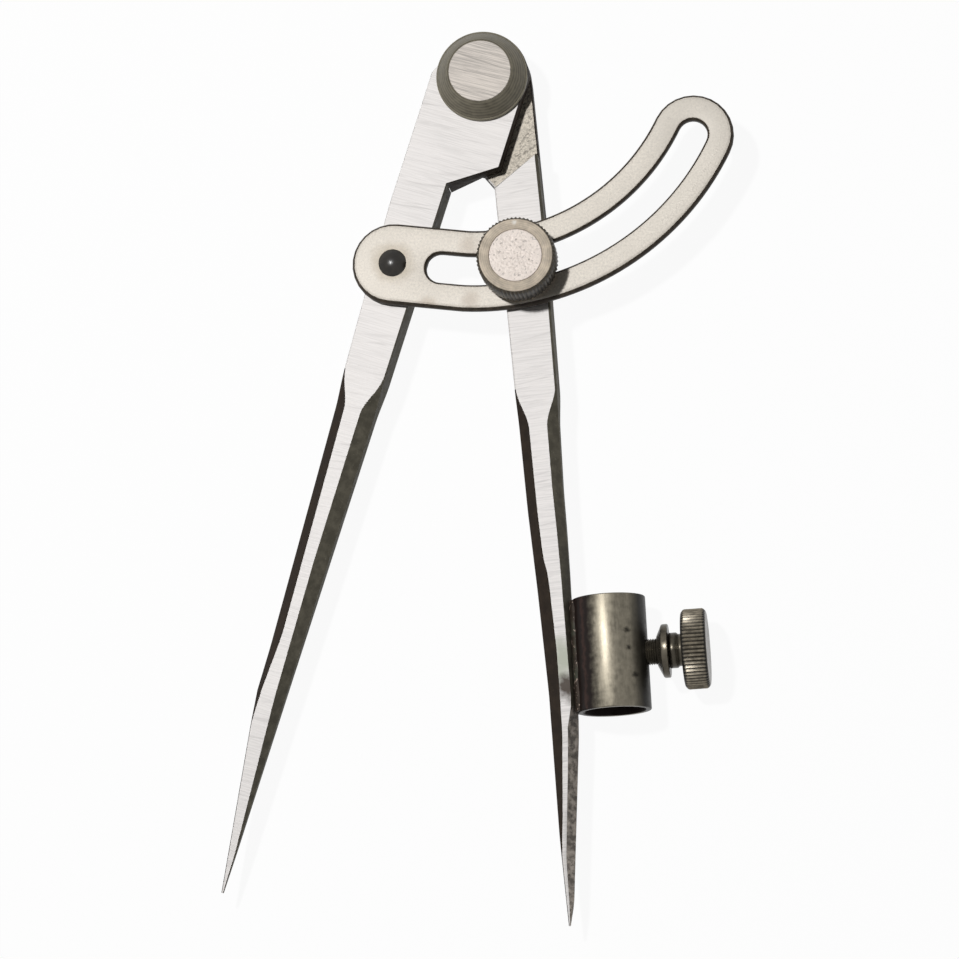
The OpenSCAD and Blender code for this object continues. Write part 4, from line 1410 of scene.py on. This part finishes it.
class COMPASS_OT_tube(bpy.types.Operator):
    """Make the pencil tube and the braze bead that holds it"""

    bl_idname = "compass.tube"
    bl_label = "Pencil tube"

    def execute(self, context):
        sizes = context.scene.compass_tube
        colours = context.scene.compass_finishes
        outer, half = sizes.tube_d / 2, sizes.tube_len / 2
        bore = outer - sizes.wall
        ease = sizes.rim_round
        profile = []
        for z, r, turn in ((half, outer, 0), (half, bore, 1), (-half, bore, 2), (-half, outer, 3)):
            centre_r = r - ease if r == outer else r + ease
            centre_z = z - ease if z > 0 else z + ease
            start = turn * math.pi / 2
            for i in range(4):
                a = start + math.pi / 2 * i / 3
                profile.append((centre_r + ease * math.cos(a), centre_z + ease * math.sin(a)))
        bore_axis = mounts["pencil_bore"]["axis"]
        heading = math.atan2(bore_axis[0], -bore_axis[1])
        centre = mounts["pencil_bore"]["pos_m"]
        skin = drawn_tube("drawn_tube", colours.tube, colours.heat_scale_and_shade, centre, heading, outer, TUBE_PITS)
        place = tube_and_screw_places()[0]

        def which(face):
            """0 outside and on the rims, 1 in the bore, painted near black as shade."""
            return 1 if axis_distance(face, place) < bore + 0.1 * MM else 0

        make_piece(
            spun_ring(profile, 128), "pencil_tube_drawn", "right_leg", ["pencil_tube"],
            [skin, dark_scale_and_painted_shade("bore_painted_shade", colours.heat_scale_and_shade)], place, material_of=which,
        )

        low, high = -half, half
        leg_x = -outer - sizes.bead_gap
        stations = 28
        end_gap = 0.2 * MM
        rows = []
        for i in range(stations + 1):
            z = blend(low + end_gap, high - end_gap, i / stations)
            swell = 1 + BEAD_SWELL * noise.noise(Vector((z * BEAD_SWELL_SCALE, 0.3, 1.7)))
            height = sizes.bead_h * swell
            half_section = [(leg_x + x * MM, y * height) for x, y in BEAD_HALF_SECTION]
            section = [(x, -y) for x, y in half_section] + half_section[::-1]
            rows.append([Vector((x, y, z)) for x, y in section])
        bm = lofted(rows, ring_shaped=False)
        bmesh.ops.subdivide_edges(bm, edges=bm.edges, cuts=1, use_grid_fill=True)
        for vert in bm.verts:
            bump = noise.noise(vert.co * BEAD_BUMP_SCALE)
            vert.co.y += BEAD_BUMP * bump
        make_piece(
            bm, "braze_bead", "right_leg", ["tube_braze"],
            [braze_metal("darkened_braze", colours.braze)], place, smooth_angle=60,
        )
        return {"FINISHED"}


# Pencil screw

NOSE_RIM = ((-0.05, 0), (0.1, 0.08))  # corners of the collar's nose: outwards and upwards in millimetres


class COMPASS_OT_pencil_screw(bpy.types.Operator):
    """Make the pencil screw's head, stem and collar"""

    bl_idname = "compass.pencil_screw"
    bl_label = "Pencil screw"

    def execute(self, context):
        sizes = context.scene.compass_screw
        tube = context.scene.compass_tube
        colours = context.scene.compass_finishes
        place = tube_and_screw_places()[1]
        tube_r = tube.tube_d / 2
        stem_r = sizes.stem_d / 2
        collar_z = tube_r + sizes.collar_gap
        collar_end = collar_z + sizes.cone + sizes.collar_edge
        neck_z = collar_end + 0.05 * MM
        head_z = neck_z + sizes.neck_len
        out = Vector(joints["pencil_screw_turn"]["axis"])
        heading = math.atan2(out.y, out.x)
        origin = joints["pencil_screw_turn"]["pos_m"]
        axis_turn = (0, math.pi / 2, heading)
        steel = turned_steel(
            "dark_turned_screw", colours.screw, origin, axis_turn, spacing=0.0003, metallic=0.7,
            roughness=(0.24, 0.38),
        )
        head_r = sizes.head_d / 2
        knurled = knurl_with_painted_light("dark_knurl", colours.screw, origin, axis_turn, head_r, sizes.knurl)

        count = sizes.ridges * 4
        neck_r = sizes.neck_d / 2
        groove = 0.35 * MM
        lathe = [
            (stem_r * 0.5, neck_z), (neck_r - EASE, neck_z), (neck_r, neck_z + EASE),
            (neck_r, neck_z + 0.55 * sizes.neck_len), (neck_r - groove, neck_z + 0.68 * sizes.neck_len),
            (neck_r - groove, head_z - 0.25 * MM), (neck_r - groove + 0.2 * MM, head_z),
        ]
        rings = [circle_places(r, z, count) for r, z in lathe]
        top = head_z + sizes.head_t
        near_end = knurled_end(sizes.head_d, head_z, 1, sizes.edge, sizes.knurl, sizes.ridges)
        far_end = knurled_end(sizes.head_d, top, -1, sizes.edge, sizes.knurl, sizes.ridges)
        rings += near_end + far_end[::-1]
        face_r = head_r - sizes.edge
        for r, z in ((face_r * 0.85, top - 0.02 * MM), (face_r * 0.3, top - 0.06 * MM)):
            rings.append(circle_places(r, z, count))

        def which(face):
            """0 on the turned ends, 1 on the knurl."""
            return 1 if axis_distance(face, place) > head_r - 0.8 * sizes.edge else 0

        make_piece(
            lofted(rings, ring_shaped=False), "pencil_screw_knurled_head", "pencil_screw",
            ["pencil_screw_head"], [steel, knurled], place, smooth_angle=50,
            material_of=which,
        )

        stem_z = tube_r - tube.wall + sizes.stem_back
        thread = 0.12 * sizes.pitch
        profile = [(0, stem_z), (stem_r - 3 * thread, stem_z)]
        z = stem_z + 0.35 * MM
        half_pitch = sizes.pitch / 4
        crest = True
        while z < collar_z + sizes.cone:
            profile.append((stem_r - (0 if crest else 2 * thread), z))
            z += half_pitch
            crest = not crest
        profile += [(stem_r, z), (stem_r, head_z + sizes.head_t / 2), (0, head_z + sizes.head_t / 2)]
        make_piece(
            spun(profile, 64), "pencil_screw_threaded_stem", "pencil_screw", ["pencil_screw_stem"],
            [steel], place,
        )

        collar_r = sizes.collar_d / 2
        nose_r = sizes.nose_d / 2
        hole_r = stem_r + HOLE_GAP
        collar = [
            (hole_r, collar_z), *corners(nose_r, collar_z, NOSE_RIM),
            (collar_r - EASE, collar_z + sizes.cone - EASE), (collar_r, collar_z + sizes.cone + EASE),
            (collar_r, collar_end - EASE), (collar_r - EASE, collar_end), (hole_r, collar_end),
        ]
        make_piece(
            spun_ring(collar, 96), "pencil_screw_cone_collar", "screw_travel", ["pencil_screw_collar"],
            [steel], place,
        )
        return {"FINISHED"}


# Stage

# Side of each square lamp and its place from the middle of the compass, in metres
KEY_SIZE, KEY_FROM = 0.06, (-0.27, 0.15, 0.951)
FILL_SIZE, FILL_FROM = 0.9, (0.75, -0.25, 0.80)

FLOOR_COLOUR = (0.86, 0.86, 0.86)
WHITE_SHARE = 0.94  # part of the floor's colour that is plain white where it is seen or reflected


class COMPASS_OT_stage(bpy.types.Operator):
    """Make the floor, the lamps, the world and the camera"""

    bl_idname = "compass.stage"
    bl_label = "Stage"

    def execute(self, context):
        sizes = context.scene.compass_stage
        scene = context.scene
        low, high = cad_box
        self.make_floor(sizes, low.z)
        self.make_world(scene, sizes)
        centre = (low + high) / 2
        self.make_lamp("key_lamp", sizes.key_power, KEY_SIZE, centre, KEY_FROM)
        self.make_lamp("fill_lamp", sizes.fill_power, FILL_SIZE, centre, FILL_FROM)
        self.make_camera(scene, sizes)
        scene.view_settings.view_transform = "Standard"
        return {"FINISHED"}

    def make_floor(self, sizes, floor_z):
        """A pale floor that reads as white and keeps a soft shadow."""
        bm = bmesh.new()
        bmesh.ops.create_grid(bm, x_segments=2, y_segments=2, size=sizes.floor_size / 2)
        bmesh.ops.translate(bm, vec=(0, 0, floor_z), verts=bm.verts)
        mesh = bpy.data.meshes.new("floor")
        bm.to_mesh(mesh)
        bm.free()
        floor = bpy.data.objects.new("floor", mesh)
        bpy.context.scene.collection.objects.link(floor)
        surface = Surface("pale_floor", metallic=0.0, specular=0.0)
        surface.finish(FLOOR_COLOUR, 0.9)
        tree = surface.tree
        white = surface.node("ShaderNodeEmission", {"Color": (1, 1, 1), "Strength": 1.0})
        both = surface.node(
            "ShaderNodeMixShader",
            {0: by_sight(tree, 0, WHITE_SHARE), 1: surface.shader.outputs[0], 2: white.outputs[0]},
        )
        tree.links.new(both.outputs[0], tree.nodes["Material Output"].inputs["Surface"])
        mesh.materials.append(surface.material)

    def make_world(self, scene, sizes):
        """White where it is seen or reflected, and a plain fill elsewhere."""
        world = bpy.data.worlds.new("studio")
        scene.world = world
        world.use_nodes = True
        tree = world.node_tree
        background = tree.nodes["Background"]
        fill(tree, background.inputs["Color"], (1, 1, 1))
        fill(tree, background.inputs["Strength"], by_sight(tree, sizes.ambient, 1.0))

    def make_lamp(self, name, power, size, centre, direction):
        """A square lamp that faces the compass."""
        data = bpy.data.lights.new(name, "AREA")
        data.energy = power
        data.size = size
        lamp = bpy.data.objects.new(name, data)
        bpy.context.scene.collection.objects.link(lamp)
        lamp.location = centre + Vector(direction)
        lamp.rotation_euler = (-Vector(direction)).to_track_quat("-Z", "Y").to_euler()

    def make_camera(self, scene, sizes):
        """The camera at the photograph's viewing angle."""
        data = bpy.data.cameras.new("camera")
        data.lens = sizes.focal
        data.sensor_width = 36
        data.clip_start, data.clip_end = 0.05, 20
        camera = bpy.data.objects.new("camera", data)
        scene.collection.objects.link(camera)
        place = Vector(sizes.camera_place)
        back = (place - Vector(sizes.aim)).normalized()
        right = Vector(sizes.camera_up).cross(back).normalized()
        camera.matrix_world = frame_at(place, right, back)
        scene.camera = camera


class COMPASS_PT_panel(bpy.types.Panel):
    """Lists the pieces of the compass"""

    bl_idname = "COMPASS_PT_panel"
    bl_label = "Wing compass"
    bl_space_type = "VIEW_3D"
    bl_region_type = "UI"
    bl_category = "Compass"

    def draw(self, context):
        for operator in OPERATORS:
            self.layout.operator(operator.bl_idname)


GROUPS = {
    "compass_legs": LegSizes,
    "compass_hinge": HingeSizes,
    "compass_wing": WingSizes,
    "compass_knob": KnobSizes,
    "compass_tube": TubeSizes,
    "compass_screw": ScrewSizes,
    "compass_finishes": Finishes,
    "compass_stage": StageSizes,
}
OPERATORS = (
    COMPASS_OT_legs, COMPASS_OT_hinge, COMPASS_OT_wing, COMPASS_OT_clamp, COMPASS_OT_tube,
    COMPASS_OT_pencil_screw, COMPASS_OT_stage,
)


def register():
    for group in GROUPS.values():
        bpy.utils.register_class(group)
    for operator in OPERATORS:
        bpy.utils.register_class(operator)
    bpy.utils.register_class(COMPASS_PT_panel)
    for name, group in GROUPS.items():
        setattr(bpy.types.Scene, name, PointerProperty(type=group))


def unregister():
    for name in GROUPS:
        delattr(bpy.types.Scene, name)
    bpy.utils.unregister_class(COMPASS_PT_panel)
    for operator in reversed(OPERATORS):
        bpy.utils.unregister_class(operator)
    for group in reversed(list(GROUPS.values())):
        bpy.utils.unregister_class(group)


def main():
    register()
    bpy.ops.compass.legs()
    bpy.ops.compass.hinge()
    bpy.ops.compass.wing()
    bpy.ops.compass.clamp()
    bpy.ops.compass.tube()
    bpy.ops.compass.pencil_screw()
    bpy.ops.compass.stage()


if __name__ == "__main__":
    main()
